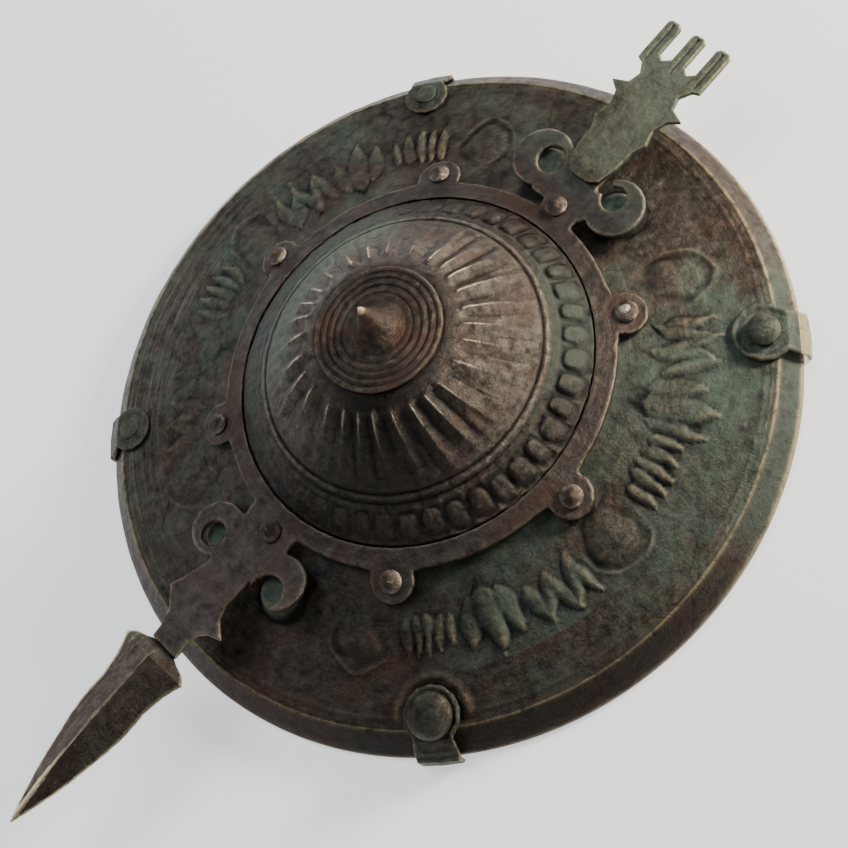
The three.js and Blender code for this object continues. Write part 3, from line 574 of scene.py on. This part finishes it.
# The patina is greener at the lower right and inside the scrolls, and browner by the fork and blade
teal = 0.08 * swell((bearing - 90) / 60) + 0.18 * swell((bearing - 300) / 40) - 0.03
teal += 0.2 * swell((bearing - 245) / 34) * (reach < 130)
teal += 0.16 * swell((bearing - 318) / 24) * swell((reach - 131) / 16)
teal -= 0.22 * swell((bearing - 350) / 32) * outer_field
teal -= 0.3 * swell((bearing - 207) / 30) * outer_field
teal -= 0.12 * (reach > 152) * (1 - 1.7 * swell((bearing - 320) / 60))
for pad_x, pad_y, pad_radius in scroll_floors:
    from_pad = np.hypot(p[:, 0] - pad_x, p[:, 1] - pad_y)
    teal += 0.5 * swell(np.clip((from_pad - pad_flat) / 6, 0, 1))
note(body_mesh, "green", teal)

# Painted shade darkens the lower side and the whole rim, most at the bottom, and the far left is
# brushed. The rim's edge is a little rubbed all round and carries a painted highlight at the right,
# and the ridge has some wear with a painted highlight.
lower_side = swell((bearing - 232) / 95)
note(body_mesh, "painted_shade", np.where(on_rim, 0.34 + 0.5 * lower_side, 0.32 * lower_side))
right_rim = swell(off_bearing(bearing, 325) / 65)
far_left = swell((bearing - 120) / 55) * np.clip((reach - 122) / 12, 0, 1) * (reach < 150)
note(body_mesh, "brushed", far_left)
on_ridge = swell((reach - 151.2) / 2)
on_edge = reach > 159.2
note(body_mesh, "wear_and_highlight", np.where(on_edge, 0.25 + 1.9 * right_rim, 0.2 + 0.6 * on_ridge))

# Old bronze of the plate: brown metal under grey-green patina that thins on the relief, with the rim
# and every raised edge rubbed to pale gold; on the rim's right side and on the ridge that pale gold
# is also a painted highlight
plate_bronze = bronze(
    "plate_bronze", metal="#5c5449", shade="#292520", patina="#4c5f50", stain="#593f35",
    worn_and_highlight="#c0ae84", rough=0.42, patina_low=0.45, grain=1.0, cracks=0.5)
put("body_plate", body_mesh, plate_bronze, "plate_bronze", "body")


# Boss. The real one is a hollow bronze dome, cast and chased: a row of square beads round its foot,
# a cordon, and long lobes up to the cap. Its foot flange is clamped under the ring.
boss_radius = 79.6
cordon_radius = 64.0
cordon_height = 47.0
lobe_top = 34.5
lobe_top_height = 70.6
boss_bulge = 1.6
boss_top = 73.0
flange_radius = 86.5
flange_thickness = 1.2
ring_thickness = 2.6
joint_gap = 0.3
foot_height = field_top(boss_radius) + joint_gap
wall_top = foot_height + flange_thickness + ring_thickness


def boss_face(radius):
    """Height of the dome between the cordon and the cap, before the lobes."""
    rise = lobe_top_height - cordon_height
    share = (cordon_radius - radius) / (cordon_radius - lobe_top)
    return cordon_height + share * rise + boss_bulge * 4 * share * (1 - share)


sides = 720
angles = np.linspace(0, 2 * np.pi, sides, endpoint=False)[None, :]
bearing = np.degrees(angles)
rubbed = swell((bearing - 98) / 62)

# The beads stand between the ring and the cordon. They are worn away on the left.
draw = np.random.default_rng(5)
bead_count = 44
bead_middle = 73.2
bead_half_long = 4.3
bead_tall = 2.0
bead_radii = np.linspace(79.4, 65.2, 30)
beaded = 0.12 + 0.88 * swell(off_bearing(bearing, 305) / 130) ** 0.6
band_slope = (cordon_height - wall_top) / (boss_radius - cordon_radius)
band = wall_top + (boss_radius - bead_radii[:, None]) * band_slope
bead_circle = 79
bead_wobble = 0.12 * unevenness(bead_circle * np.cos(angles), bead_circle * np.sin(angles), 9, 21)
bead_turn = np.mod(angles / (2 * np.pi) * bead_count + bead_wobble, bead_count)
bead_number = np.floor(bead_turn).astype(int)
bead_place = bead_turn - bead_number - 0.5
bead_full = draw.uniform(0.5, 1.1, bead_count)[bead_number]
bead_shift = draw.uniform(-0.5, 0.5, bead_count)[bead_number]
bead_wide = draw.uniform(0.33, 0.41, bead_count)[bead_number]
bead_along = (bead_radii[:, None] - bead_middle - bead_shift) / bead_half_long
bead_share = (np.abs(bead_place / bead_wide) ** 3 + np.abs(bead_along) ** 3) ** (1 / 3)
pillow = np.clip(1 - bead_share ** 2.6, 0, 1) ** 0.7
bead_rise = bead_tall * pillow * beaded * bead_full + 0.5 * (1 - beaded) * swell(bead_along)
bead_height = band - 0.9 * beaded * swell((bead_share - 1.2) / 0.5) + bead_rise
bead_height += 0.5 * swell((bead_radii[:, None] - 67.6) / 0.9)
bead_x = bead_radii[:, None] * np.cos(angles)
bead_y = bead_radii[:, None] * np.sin(angles)
bead_height += 0.3 * unevenness(bead_x, bead_y, 2.6, 22) + 0.15 * unevenness(bead_x, bead_y, 1.2, 24)

# The lobes start at uneven heights above the cordon, and are rubbed flat on the upper left
lobe_count = 28
lobe_depth = 3.3
lobe_radii = np.concatenate([np.linspace(64.9, 61.6, 8), np.linspace(61, lobe_top, 48)])
share = (cordon_radius - lobe_radii[:, None]) / (cordon_radius - lobe_top)
drift = 0.05 * np.sin(3 * angles + 1) + 0.03 * np.sin(7 * angles) + 0.09 * share
lobe_turn = np.mod((angles + drift) / (2 * np.pi) * lobe_count, lobe_count)
lobe_number = np.floor(lobe_turn).astype(int)
lobe_full = draw.uniform(0.65, 1.2, lobe_count)[lobe_number]
lobe_start = draw.uniform(0.02, 0.36, lobe_count)[lobe_number]
crest_share = np.abs(2 * (lobe_turn - lobe_number) - 1)
lobe = np.clip(1 - crest_share, 0, 1) ** 1.15 - 0.42
depth = np.clip((share - lobe_start) / 0.42, 0, 1) ** 1.3
depth = depth * np.clip((1.01 - share) / 0.13, 0, 1) ** 0.7
depth = depth * (1 - 0.85 * rubbed * np.clip((0.72 - share) / 0.25, 0, 1))
fine_crease = 0.3 * np.sin((angles + 0.5 * drift) * 61 + 2 * np.sin(5 * angles))
fine_crease = fine_crease * swell((share - 0.34) / 0.3)
boss_x = lobe_radii[:, None] * np.cos(angles)
boss_y = lobe_radii[:, None] * np.sin(angles)
lobe_height = boss_face(lobe_radii[:, None]) + lobe_depth * depth * lobe * lobe_full + fine_crease
lobe_height += 0.7 * swell((lobe_radii[:, None] - 64.1) / 1.3)
lobe_height -= 0.9 * swell((lobe_radii[:, None] - 62.1) / 1.0)
lobe_height += 0.2 * unevenness(boss_x, boss_y, 4, 23)
lobe_height += (0.12 + 0.06 * rubbed) * unevenness(boss_x, boss_y, 2.2, 25)

# The hollow inside is plain
wall = 3.5
inside_radii = [34.5, 42, 49.2, 56, 62.9]
stem_hole = 4.9
flange_foot = field_top(flange_radius) + joint_gap
inside_heights = [boss_face(r) - wall for r in inside_radii]
boss_back = polar([stem_hole, 28.9, *inside_radii, 70, 77.4, 77.4],
                  [70.8, 70.8, *inside_heights, 38.2, 32, foot_height], sides)
rings = np.concatenate([
    polar([flange_radius, flange_radius], [flange_foot, flange_foot + flange_thickness], sides),
    polar([boss_radius, boss_radius], [foot_height + flange_thickness, wall_top - 0.4], sides),
    polar(bead_radii, bead_height, sides),
    polar(lobe_radii, lobe_height, sides),
    polar([33, 31.5, 30, 29, 26, 12, stem_hole], [71.5, 72.4, 72.9, *[boss_top] * 4], sides),
    boss_back,
])
boss_mesh = skin("boss_bronze", rings)
note_form(boss_mesh, np.arange(len(rings) * sides) < (len(rings) - len(boss_back)) * sides)
p = plan(boss_mesh)
bearing = np.degrees(np.arctan2(p[:, 1], p[:, 0])) % 360
reach = np.hypot(p[:, 0], p[:, 1])
on_band = reach > 65
on_top = reach < lobe_top

# Green is left on the smooth side and on the beads. Painted shade darkens the lower side, the bead
# row and the top under the cap, and rubbed metal with a painted highlight lies on the lobes' upper
# crests
smooth_side = 0.6 * np.minimum(1, 1.7 * swell((bearing - 95) / 72)) * swell((reach - 64) / 30)
beads_side = 0.4 * on_band * swell((bearing - 320) / 60)
note(boss_mesh, "green", smooth_side + beads_side - 0.1)
lower_side = 0.72 * swell((bearing - 222) / 85) * (reach < 66)
note(boss_mesh, "painted_shade", lower_side + 0.6 * on_band + 0.3 * on_top)
upper_lobes = np.clip((46 - reach) / 6, 0, 1) * np.clip((reach - lobe_top) / 1.5, 0, 1)
note(boss_mesh, "wear_and_highlight", 0.25 + 1.65 * upper_lobes - 0.25 * on_top - 0.12 * on_band)

# The boss's bronze: browner and glossier than the plate, with green left on the smooth side
boss_bronze = bronze(
    "boss_bronze", metal="#746b60", shade="#28241f", patina="#5a6856", stain="#5a463d",
    worn_and_highlight="#d6c6aa", rough=0.31, patina_low=0.5, grain=1.2, cracks=0.35)
put("fluted_boss", boss_mesh, boss_bronze, "boss_bronze", "boss")


# Cap. It is a turned bronze disc with stepped rings and a hollow-sided cone, and a stem through
# the boss's top that is hammered over inside.
def turned_mesh(name, profile, sides, dent=0.0, seed=0):
    """A turned piece from [radius, height] pairs, with small dents, about the disc's axis."""
    row_step = 0.45
    profile = np.array(profile, float)
    length = np.concatenate([[0], np.cumsum(np.hypot(*np.diff(profile, axis=0).T))])
    steps = np.linspace(0, length[-1], int(length[-1] / row_step))
    steps = np.unique(np.concatenate([steps, length]))
    radius = np.maximum(np.interp(steps, length, profile[:, 0]), 0.02)
    height = np.interp(steps, length, profile[:, 1])
    rings = polar(radius, height, sides)
    wave = unevenness(rings[:, :, 0] + 40, rings[:, :, 1] + 40 + rings[:, :, 2], 3.2, seed)
    rings[:, :, 2] += dent * wave * np.minimum(1, radius / 2)[:, None]
    return skin(name, rings, ends=True)


cap_seat = boss_top + joint_gap
cap_profile = [
    [0.1, 68.1], [7.6, 68.6], [8, 69.6], [8, 70.5], [4.6, 70.5], [4.6, cap_seat], [27.5, cap_seat],
    [28, cap_seat + 0.5], [28, 74.5], [27.6, 75.1], [26.8, 75.35], [26, 75.2], [25.5, 74.8], [24.9, 75.2],
    [23.9, 75.65], [22.9, 75.5], [22.4, 75.05], [21.8, 75.45], [20.7, 75.9], [19.6, 75.75], [19.1, 75.3],
    [18.5, 75.7], [17.2, 76.1], [16.2, 75.95], [15.7, 75.55], [15.1, 75.9], [14, 76.2], [12.6, 76.2],
    [11.4, 76.8], [9.8, 77.8], [8.2, 79.2], [6.6, 81.2], [5.2, 83.8], [3.9, 86.7], [2.8, 89.6],
    [1.9, 92.1], [1.1, 94.1], [0.5, 95.3], [0.1, 95.6],
]
cap_mesh = turned_mesh("cap_bronze", cap_profile, sides=150, dent=0.22, seed=31)
note_form(cap_mesh)
note(cap_mesh, "green", -0.25)
# The cone's tip is rubbed bright, which also stands as a painted highlight
note(cap_mesh, "wear_and_highlight", 0.3 + 3.0 * np.clip((plan(cap_mesh)[:, 2] - 88) / 7, 0, 1))

# The cap's bronze: dark brown in its grooves, and at the cone's tip a warm pale gold that is rubbed
# metal and a painted highlight
cap_bronze = bronze(
    "cap_bronze", metal="#5e5449", shade="#28231e", patina="#515a4b", stain="#563b30",
    worn_and_highlight="#f0d3ab", rough=0.34, patina_low=0.6, grain=1.6)
put("pointed_cap", cap_mesh, cap_bronze, "boss_bronze", "boss_cap")


# Ring frame. The real one is cut from bronze sheet: a strap round the boss with six riveted tabs,
# and on each side a root of two scrolls, with arms that carry the fork and the blade.
def worked_copy(name, node, grain):
    """An even fine skin over a CAD solid, with its edges eased, as a mesh of its own."""
    source = bpy.data.objects.new(name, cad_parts[node].data.copy())
    bpy.context.scene.collection.objects.link(source)
    even = source.modifiers.new("even", "REMESH")
    even.mode = "VOXEL"
    even.voxel_size = grain / 1000
    eased = source.modifiers.new("eased", "SMOOTH")
    eased.factor = 0.5
    eased.iterations = 2
    view = bpy.context.evaluated_depsgraph_get()
    mesh = bpy.data.meshes.new_from_object(source.evaluated_get(view))
    bpy.data.objects.remove(source)
    mesh.name = name
    mesh.shade_smooth()
    return mesh


def from_edge(mesh, up=0.55):
    """How far each upward point lies from the sheet's cut edge, in millimetres, and -1 on the rest. A
    point is upward where its normal's z is over up, and on the cut edge where that is under 0.5."""
    lift = read(mesh, "normal")[:, 2]
    points = plan(mesh)
    wall = np.nonzero(np.abs(lift) < 0.5)[0]
    tree = kdtree.KDTree(len(wall))
    for k in wall:
        tree.insert((points[k, 0], points[k, 1], 0), int(k))
    tree.balance()
    reach = np.full(len(points), -1.0)
    for k in np.nonzero(lift > up)[0]:
        reach[k] = tree.find((points[k, 0], points[k, 1], 0))[2]
    return reach


def raise_points(mesh, lift):
    """Moves the points up by lift, in millimetres."""
    points = read(mesh, "co")
    points[:, 2] += lift / 1000
    mesh.vertices.foreach_set("co", points.ravel())
    mesh.update()


ring_mesh = worked_copy("ring_bronze", "ring_frame", grain=0.62)
p = plan(ring_mesh)
reach = from_edge(ring_mesh)
on_top = reach >= 0
lip = 0.08 * swell((reach - 1.1) / 1.0)
lip += 0.2 * unevenness(p[:, 0], p[:, 1], 6, 41) + 0.14 * unevenness(p[:, 0], p[:, 1], 2.4, 42)
raise_points(ring_mesh, np.where(on_top, lip, 0))
note_form(ring_mesh)
fork_root = np.clip((p[:, 0] - 96) / 8, 0, 1) * (np.abs(p[:, 1]) < 40)
blade_root = np.clip((-p[:, 0] - 140) / 6, 0, 1)
note(ring_mesh, "green", 0.3 * fork_root + 0.1 * blade_root - 0.12)
note(ring_mesh, "wear_and_highlight", 0.35)

# The frame's bronze: smooth dark brown, thinly oxidised, with faint rubbed lines along its edges
frame_bronze = bronze(
    "frame_bronze", metal="#58514a", shade="#38322d", patina="#56614f", stain="#543e35",
    worn_and_highlight="#ac9c82", rough=0.36, patina_low=0.56, grain=0.8, cracks=0.3)
put("ring_and_roots", ring_mesh, frame_bronze, "frame_bronze", "ring_frame")


# Fork. It is a flat bronze plate with three blunt tines and a pair of barbs, lapped on the frame's
# arm, with a groove filed down each tine.
tine_pitch = 14.2
groove_half = 1.1
groove_depth = 0.6
fork_mesh = worked_copy("fork_bronze", "fork", grain=0.42)
p = plan(fork_mesh)
reach = from_edge(fork_mesh)
tine = np.minimum.reduce([np.abs(p[:, 1] - k * tine_pitch) for k in (-1, 0, 1)])
groove = swell(tine / groove_half) * np.clip((p[:, 0] - 166) / 4, 0, 1) * (reach > 1.4)
lip = 0.1 * swell((reach - 0.8) / 0.8) - groove_depth * groove
lip += 0.12 * unevenness(p[:, 0], p[:, 1], 4, 51) + 0.06 * unevenness(p[:, 0], p[:, 1], 1.5, 52)
raise_points(fork_mesh, np.where(reach >= 0, lip, 0))
note_form(fork_mesh)
note(fork_mesh, "green", 0.26 * np.clip((p[:, 0] - 112) / 50, 0, 1) - 0.02)
note(fork_mesh, "wear_and_highlight", 0.5 + 1.1 * np.clip((p[:, 0] - 160) / 8, 0, 1))

# The fork's bronze: nearly all under a thin, even grey-green patina, yellow-green on its rubbed edges
fork_bronze = bronze(
    "fork_bronze", metal="#6e6857", shade="#3b372d", patina="#6d7663", stain="#565040",
    worn_and_highlight="#b9b684", rough=0.4, patina_low=0.46, grain=1.3, cracks=0.45)
put("three_tined_fork", fork_mesh, fork_bronze, "fork_bronze", "fork")


# Blade. The real one is forged bronze with a raised middle ridge and two ground facets, on a flat
# tang that is brazed under the frame's arm.
blade_level = 35.5
arm_level = 29.6
arm_rise = 4.6
tang_half_wide = 6
tang_half_thick = 1.15
tang_reaches = np.array([127.3, 140, 150, 158.2])
tang_rise = arm_rise * np.clip((tang_reaches - 97) / 53, 0, 1)
tang_middle = arm_level + tang_rise - joint_gap - tang_half_thick
stop_reach = np.array([158.4, 159.4, 161.2, 164, 169, 174, 179, 184, 191, 198, 205, 212, 222.5, 233,
                       243.5, 254])
stop_half = np.array([7.4, 9.4, 15.6, 19, 17.1, 15.6, 14.6, 14, 14.2, 13.9, 13.0, 11.6, 9.6, 7.0,
                      3.9, 0.3])
stop_ridge = np.array([1.8, 2.4, 4.2, 5.8, 6, 6, 6, 6, 6, 6, 5.8, 5.5, 4.8, 3.8, 2.3, 0.6])
blade_reach = np.unique(np.concatenate([np.linspace(158.4, 254, 190), stop_reach]))
half = np.interp(blade_reach, stop_reach, stop_half)
ridge = np.interp(blade_reach, stop_reach, stop_ridge)
across = np.concatenate([np.linspace(-1, -0.06, 16), [-0.025, 0, 0.025], np.linspace(0.06, 1, 16)])
rows = []
for reach_here, middle in zip(tang_reaches, tang_middle):
    top = [(-reach_here, tang_half_wide * c, middle + tang_half_thick) for c in across]
    under = [(-reach_here, tang_half_wide * c, middle - tang_half_thick) for c in across[::-1]]
    rows.append(top + under)
for reach_here, wide, tall in zip(blade_reach, half, ridge):
    taper = np.clip(1 - np.abs(across), 0, 1)
    hammered = 0.15 * unevenness(np.full_like(across, reach_here / 5), 2.2 * across * wide, 2.2, 61)
    hammered = hammered * (taper > 0.02) * (across > 0.03)
    nick = 0.22 * abs(float(unevenness(reach_here, 7.0, 2.3, 62)))
    edge_half = np.minimum(0.4, 0.25 + 0.04 * tall)
    top = np.column_stack([
        np.full_like(across, -reach_here),
        across * (wide - nick * (wide > 3)),
        blade_level + edge_half + (tall - edge_half) * taper ** 1.12 + hammered,
    ])
    under = np.column_stack([
        np.full_like(across, -reach_here),
        across[::-1] * (wide - nick * (wide > 3)),
        blade_level - edge_half - (2.4 * tall / 6) * taper[::-1],
    ])
    rows.append(top.tolist() + under.tolist())
blade_mesh = skin("blade_bronze", np.array(rows, float), ends=True)
note_form(blade_mesh)
p = plan(blade_mesh)
neck = swell((p[:, 0] + 160) / 14)
note(blade_mesh, "green", 0.3 * neck - 0.2)
# Painted shade darkens the facet on the -y side
note(blade_mesh, "painted_shade", 0.5 * (p[:, 1] < -0.4))
half_here = np.interp(-p[:, 0], stop_reach, stop_half)
# A painted highlight lies on the +y facet, and towards the tip on a pale strip beside the ridge and on
# the worn edges
far_out = np.clip((-p[:, 0] - 200) / 34, 0, 1)
on_line = (np.abs(p[:, 1] - 0.4) < 0.5 + far_out) | (np.abs(p[:, 1]) > half_here - 0.8)
bare_and_highlight_lines = 2.4 * far_out * on_line * (p[:, 2] > blade_level)
note(blade_mesh, "wear_and_highlight", 0.6 + bare_and_highlight_lines + 0.6 * (p[:, 1] > 0.5))

# The blade's bronze: dark brown, smooth and glossier, with pale edges and ridge towards the tip, both
# wear and painted highlight
blade_bronze = bronze(
    "blade_bronze", metal="#72665a", shade="#29231d", patina="#616b59", stain="#4c392e",
    worn_and_highlight="#ead8b0", rough=0.32, patina_low=0.55, grain=1.3, lengthwise=True)
put("spear_blade", blade_mesh, blade_bronze, "blade_bronze", "blade")


# Ring rivets. Eight bronze rivets with small peaked heads hold the frame: six in its tabs and two
# in its roots, where they also carry the grip bar.
rivet_circle = 92.5

# The rivets' bronze: worn smooth, so it is the brightest, and its pale colour shows the most at the
# peaks, where it is wear and painted highlight
rivet_bronze = bronze(
    "rivet_bronze", metal="#62574b", shade="#2f2821", patina="#58614f", stain="#5a453a",
    worn_and_highlight="#f0dccb", rough=0.3, patina_low=0.62, grain=2.0)


def on_field(radius, angle, leans=True):
    """A place on the plate's face, with x outwards and z square to the face when it leans."""
    lean = math.atan(field_fall(radius)) if leans else 0.0
    return (Matrix.Rotation(math.radians(angle), 4, "Z")
            @ Matrix.Translation((radius, 0, field_top(radius)))
            @ Matrix.Rotation(lean, 4, "Y"))


def rivet(name, node, place, head, seat, back, seed, metal=rivet_bronze, wear_and_highlight=0.6, peak=0.9):
    """Turns a rivet from its head's profile, sets it at its place and gives it its bronze. Seat and
    back are the heights under its head and over its hammered end, and peak is more wear and painted
    highlight at its top."""
    profile = [[0.1, back - 1.6], [2.4, back - 1.35], [3.6, back - 0.8], [4, back - 0.2], [4, back],
               [2.2, back], [2.2, seat], *([radius, seat + height] for radius, height in head)]
    mesh = turned_mesh(name, profile, sides=36, dent=0.14, seed=seed)
    shift = Matrix.Translation((disc_x / 1000, 0, 0))
    scaled = place.copy()
    scaled.translation = place.translation / 1000
    mesh.transform(shift @ scaled @ shift.inverted())
    note_form(mesh)
    note(mesh, "green", 0.05)
    tops = plan(mesh)[:, 2]
    note(mesh, "wear_and_highlight", wear_and_highlight + peak * np.clip((tops - tops.max() + 1.6) / 1.6, 0, 1))
    put(name, mesh, metal, "rivet_bronze", node)


peaked = [[4.9, 0.0], [5.0, 0.5], [4.7, 1.2], [4.0, 1.9], [3.0, 2.6], [1.9, 3.3], [0.9, 4.0], [0.1, 4.4]]
fall = field_fall(rivet_circle)
ring_lift = 2.1
tab_seat = (ring_lift + ring_thickness) * math.cos(math.atan(fall)) + joint_gap
root_seat = arm_level + ring_thickness - field_top(rivet_circle) + joint_gap
bar_gap = 0.9
bar_thickness = 3
back_head_radius = 4
root_back = -plate_thickness - bar_gap - bar_thickness - back_head_radius * fall
ring_angles = (0, 38, 90, 142, 180, 218, 270, 322)
# One rivet, at the right, carries a strong painted highlight on its peak, and the others a weaker one
highlit_rivet = 7
for k, angle in enumerate(ring_angles):
    in_root = angle % 180 == 0
    place = on_field(rivet_circle, angle, not in_root)
    seat = root_seat if in_root else tab_seat
    back = root_back if in_root else -plate_thickness - joint_gap
    peak = 4.0 if k == highlit_rivet else 1.2
    rivet(f"frame_rivet_{k + 1}", f"ring_rivet_{k + 1}", place, peaked, seat, back, seed=70 + k,
          peak=peak)


# Rim clips. Four bronze straps are folded over the rim on the diagonals, each held by one rivet:
# two are hammered nearly flat, and the two nearer the viewer stand up under large domed heads.
flat_head = [[4.9, 0.0], [5.0, 0.15], [4.2, 0.4], [3, 0.6], [0.1, 0.7]]
great_head = [[9.7, 0], [10, 0.7], [9.7, 1.9], [8.8, 3.2], [7.2, 4.4], [5, 5.3], [2.6, 5.85], [0.1, 6]]
cut_head = [[6.8, 0], [7, 0.6], [6.9, 1.6], [6.1, 2.9], [4.6, 4.1], [2.6, 4.9], [1, 5.15], [0.1, 5.2]]
clip_angles = (45, 135, 225, 315)
clip_heads = (flat_head, flat_head, great_head, cut_head)
clip_springs = (0, 0, 1.6, 1.6)
clip_greens = (0.04, 0.04, 0.04, 0.14)
clip_folds = (157, 157, 157, 160.3)
# The folded ends are rubbed; on the right clip the pale fold is wear and a painted highlight
clip_wear_and_highlight = (0.6, 0.6, 1.3, 2.5)
clip_lift = 0.9
clip_thickness = 1.8

# The near clip and its rivet: a nearly black copy of the bronze, which is painted shade
shaded_bronze = bronze(
    "shaded_bronze", metal="#45413a", shade="#171613", patina="#3c4a40", stain="#3d2f28",
    worn_and_highlight="#a59877", rough=0.36, patina_low=0.46, grain=1.3, cracks=0.4)
clip_metals = (plate_bronze, plate_bronze, shaded_bronze, plate_bronze)
for k, angle in enumerate(clip_angles):
    clip_mesh = worked_copy(f"clip_bronze_{k + 1}", f"rim_clip_{k + 1}", grain=0.45)
    p = plan(clip_mesh)
    reach = from_edge(clip_mesh, 0.4)
    stands_up = 1.0 if k > 1 else 0.3
    lip = stands_up * (0.3 * swell((reach - 1.2) / 1.1) - 0.2 * swell((reach - 3.0) / 1.0))
    lip += 0.24 * unevenness(p[:, 0], p[:, 1], 4, 80 + k)
    lip += 0.1 * unevenness(p[:, 0], p[:, 1], 1.6, 84 + k)
    raise_points(clip_mesh, np.where(reach >= 0, lip, 0))
    note_form(clip_mesh)
    note(clip_mesh, "green", clip_greens[k])
    folded = np.hypot(p[:, 0], p[:, 1]) > clip_folds[k]
    note(clip_mesh, "wear_and_highlight", np.where(folded, clip_wear_and_highlight[k], 0.25))
    put(f"clip_{k + 1}", clip_mesh, clip_metals[k], "plate_bronze", f"rim_clip_{k + 1}")
    seat = clip_lift + clip_thickness + 0.7 * clip_springs[k]
    back = -plate_thickness - joint_gap
    rivet(f"clip_pin_{k + 1}", f"clip_rivet_{k + 1}", on_field(clip_circle, angle), clip_heads[k],
          seat, back, seed=90 + k, metal=clip_metals[k], wear_and_highlight=0.1, peak=0.2)


# Grip. A flat bronze bar crosses the hand opening, held by the two root rivets, and a handle on it
# is bound with a leather strip. Neither shows from the front.
bar_mesh = worked_copy("bar_bronze", "grip_bar", grain=0.6)
note_form(bar_mesh)
note(bar_mesh, "green", 0.0)
note(bar_mesh, "wear_and_highlight", 0.4)
put("hand_bar", bar_mesh, frame_bronze, "frame_bronze", "grip_bar")

sleeve_half = 48.0
sleeve_half_wide = 15.0
sleeve_half_tall = 11.0
sleeve_middle = 18.5
strip_pitch = 11.0
strip_inset = 0.5
sides = 64
angles = np.linspace(0, 2 * np.pi, sides, endpoint=False)
rows = []
for x in np.linspace(-sleeve_half, sleeve_half, 150):
    full = np.interp(abs(x) / sleeve_half, [0, 0.4, 0.86, 0.97, 1], [1.03, 1.0, 0.92, 0.86, 0.78])
    phase = np.mod(x / strip_pitch + angles / (2 * np.pi), 1)
    seam = 0.5 * swell(np.minimum(phase, 1 - phase) / 0.06)
    overlap = 0.65 * np.clip((phase - 0.05) / 0.9, 0, 1) - seam
    rows.append(np.column_stack([
        np.full(sides, x),
        (full * sleeve_half_wide + overlap - strip_inset) * np.cos(angles),
        sleeve_middle + (full * sleeve_half_tall + overlap - strip_inset) * np.sin(angles),
    ]))
hole_half_wide = 9.3
hole_half_tall = 1.8
square = np.maximum(np.abs(np.cos(angles)), np.abs(np.sin(angles)))
for x in (sleeve_half, -sleeve_half):
    rows.append(np.column_stack([
        np.full(sides, x),
        hole_half_wide * np.clip(np.cos(angles) / square, -1, 1),
        sleeve_middle + hole_half_tall * np.clip(np.sin(angles) / square, -1, 1),
    ]))
sleeve_mesh = skin("grip_leather", np.array(rows, float))
note_form(sleeve_mesh)

# Leather strip: vegetable-tanned, dark with use, with a fine pebbled grain of about 0.8 mm and a
# dull shine on the turns
leather, tree, shader = material_tree("worn_leather")
place = add(tree, "ShaderNodeTexCoord").outputs["Object"]
pebble_size = 0.8
shade_size = 11.0
pebbles = add(tree, "ShaderNodeTexVoronoi", {"Vector": place, "Scale": 1000 / pebble_size})
tone = add(tree, "ShaderNodeTexNoise", {"Vector": place, "Scale": 1000 / shade_size, "Detail": 6})
stand = add(tree, "ShaderNodeAttribute", attribute_name="stand").outputs["Fac"]
hide = add(tree, "ShaderNodeMix", {0: tone.outputs["Fac"], 6: linear("#2a1c14"), 7: linear("#5a3d29")},
           data_type="RGBA")
# Painted shade darkens the hollows between the strip's turns
hollow = add(tree, "ShaderNodeMapRange", {
    "Value": stand, "From Min": 0.0, "From Max": -0.4, "To Max": 0.8})
dark = add(tree, "ShaderNodeMix", {0: hollow.outputs[0], 6: hide.outputs[2], 7: linear("#0f0a07")},
           data_type="RGBA")
tree.links.new(dark.outputs[2], shader.inputs["Base Color"])
shader.inputs["Roughness"].default_value = 0.55
shader.inputs["IOR"].default_value = 1.5
grain_bump = add(tree, "ShaderNodeBump", {
    "Strength": 0.4, "Distance": 0.0003, "Height": pebbles.outputs["Distance"]})
tree.links.new(grain_bump.outputs[0], shader.inputs["Normal"])
put("leather_grip", sleeve_mesh, leather, "grip_leather", "grip_sleeve")
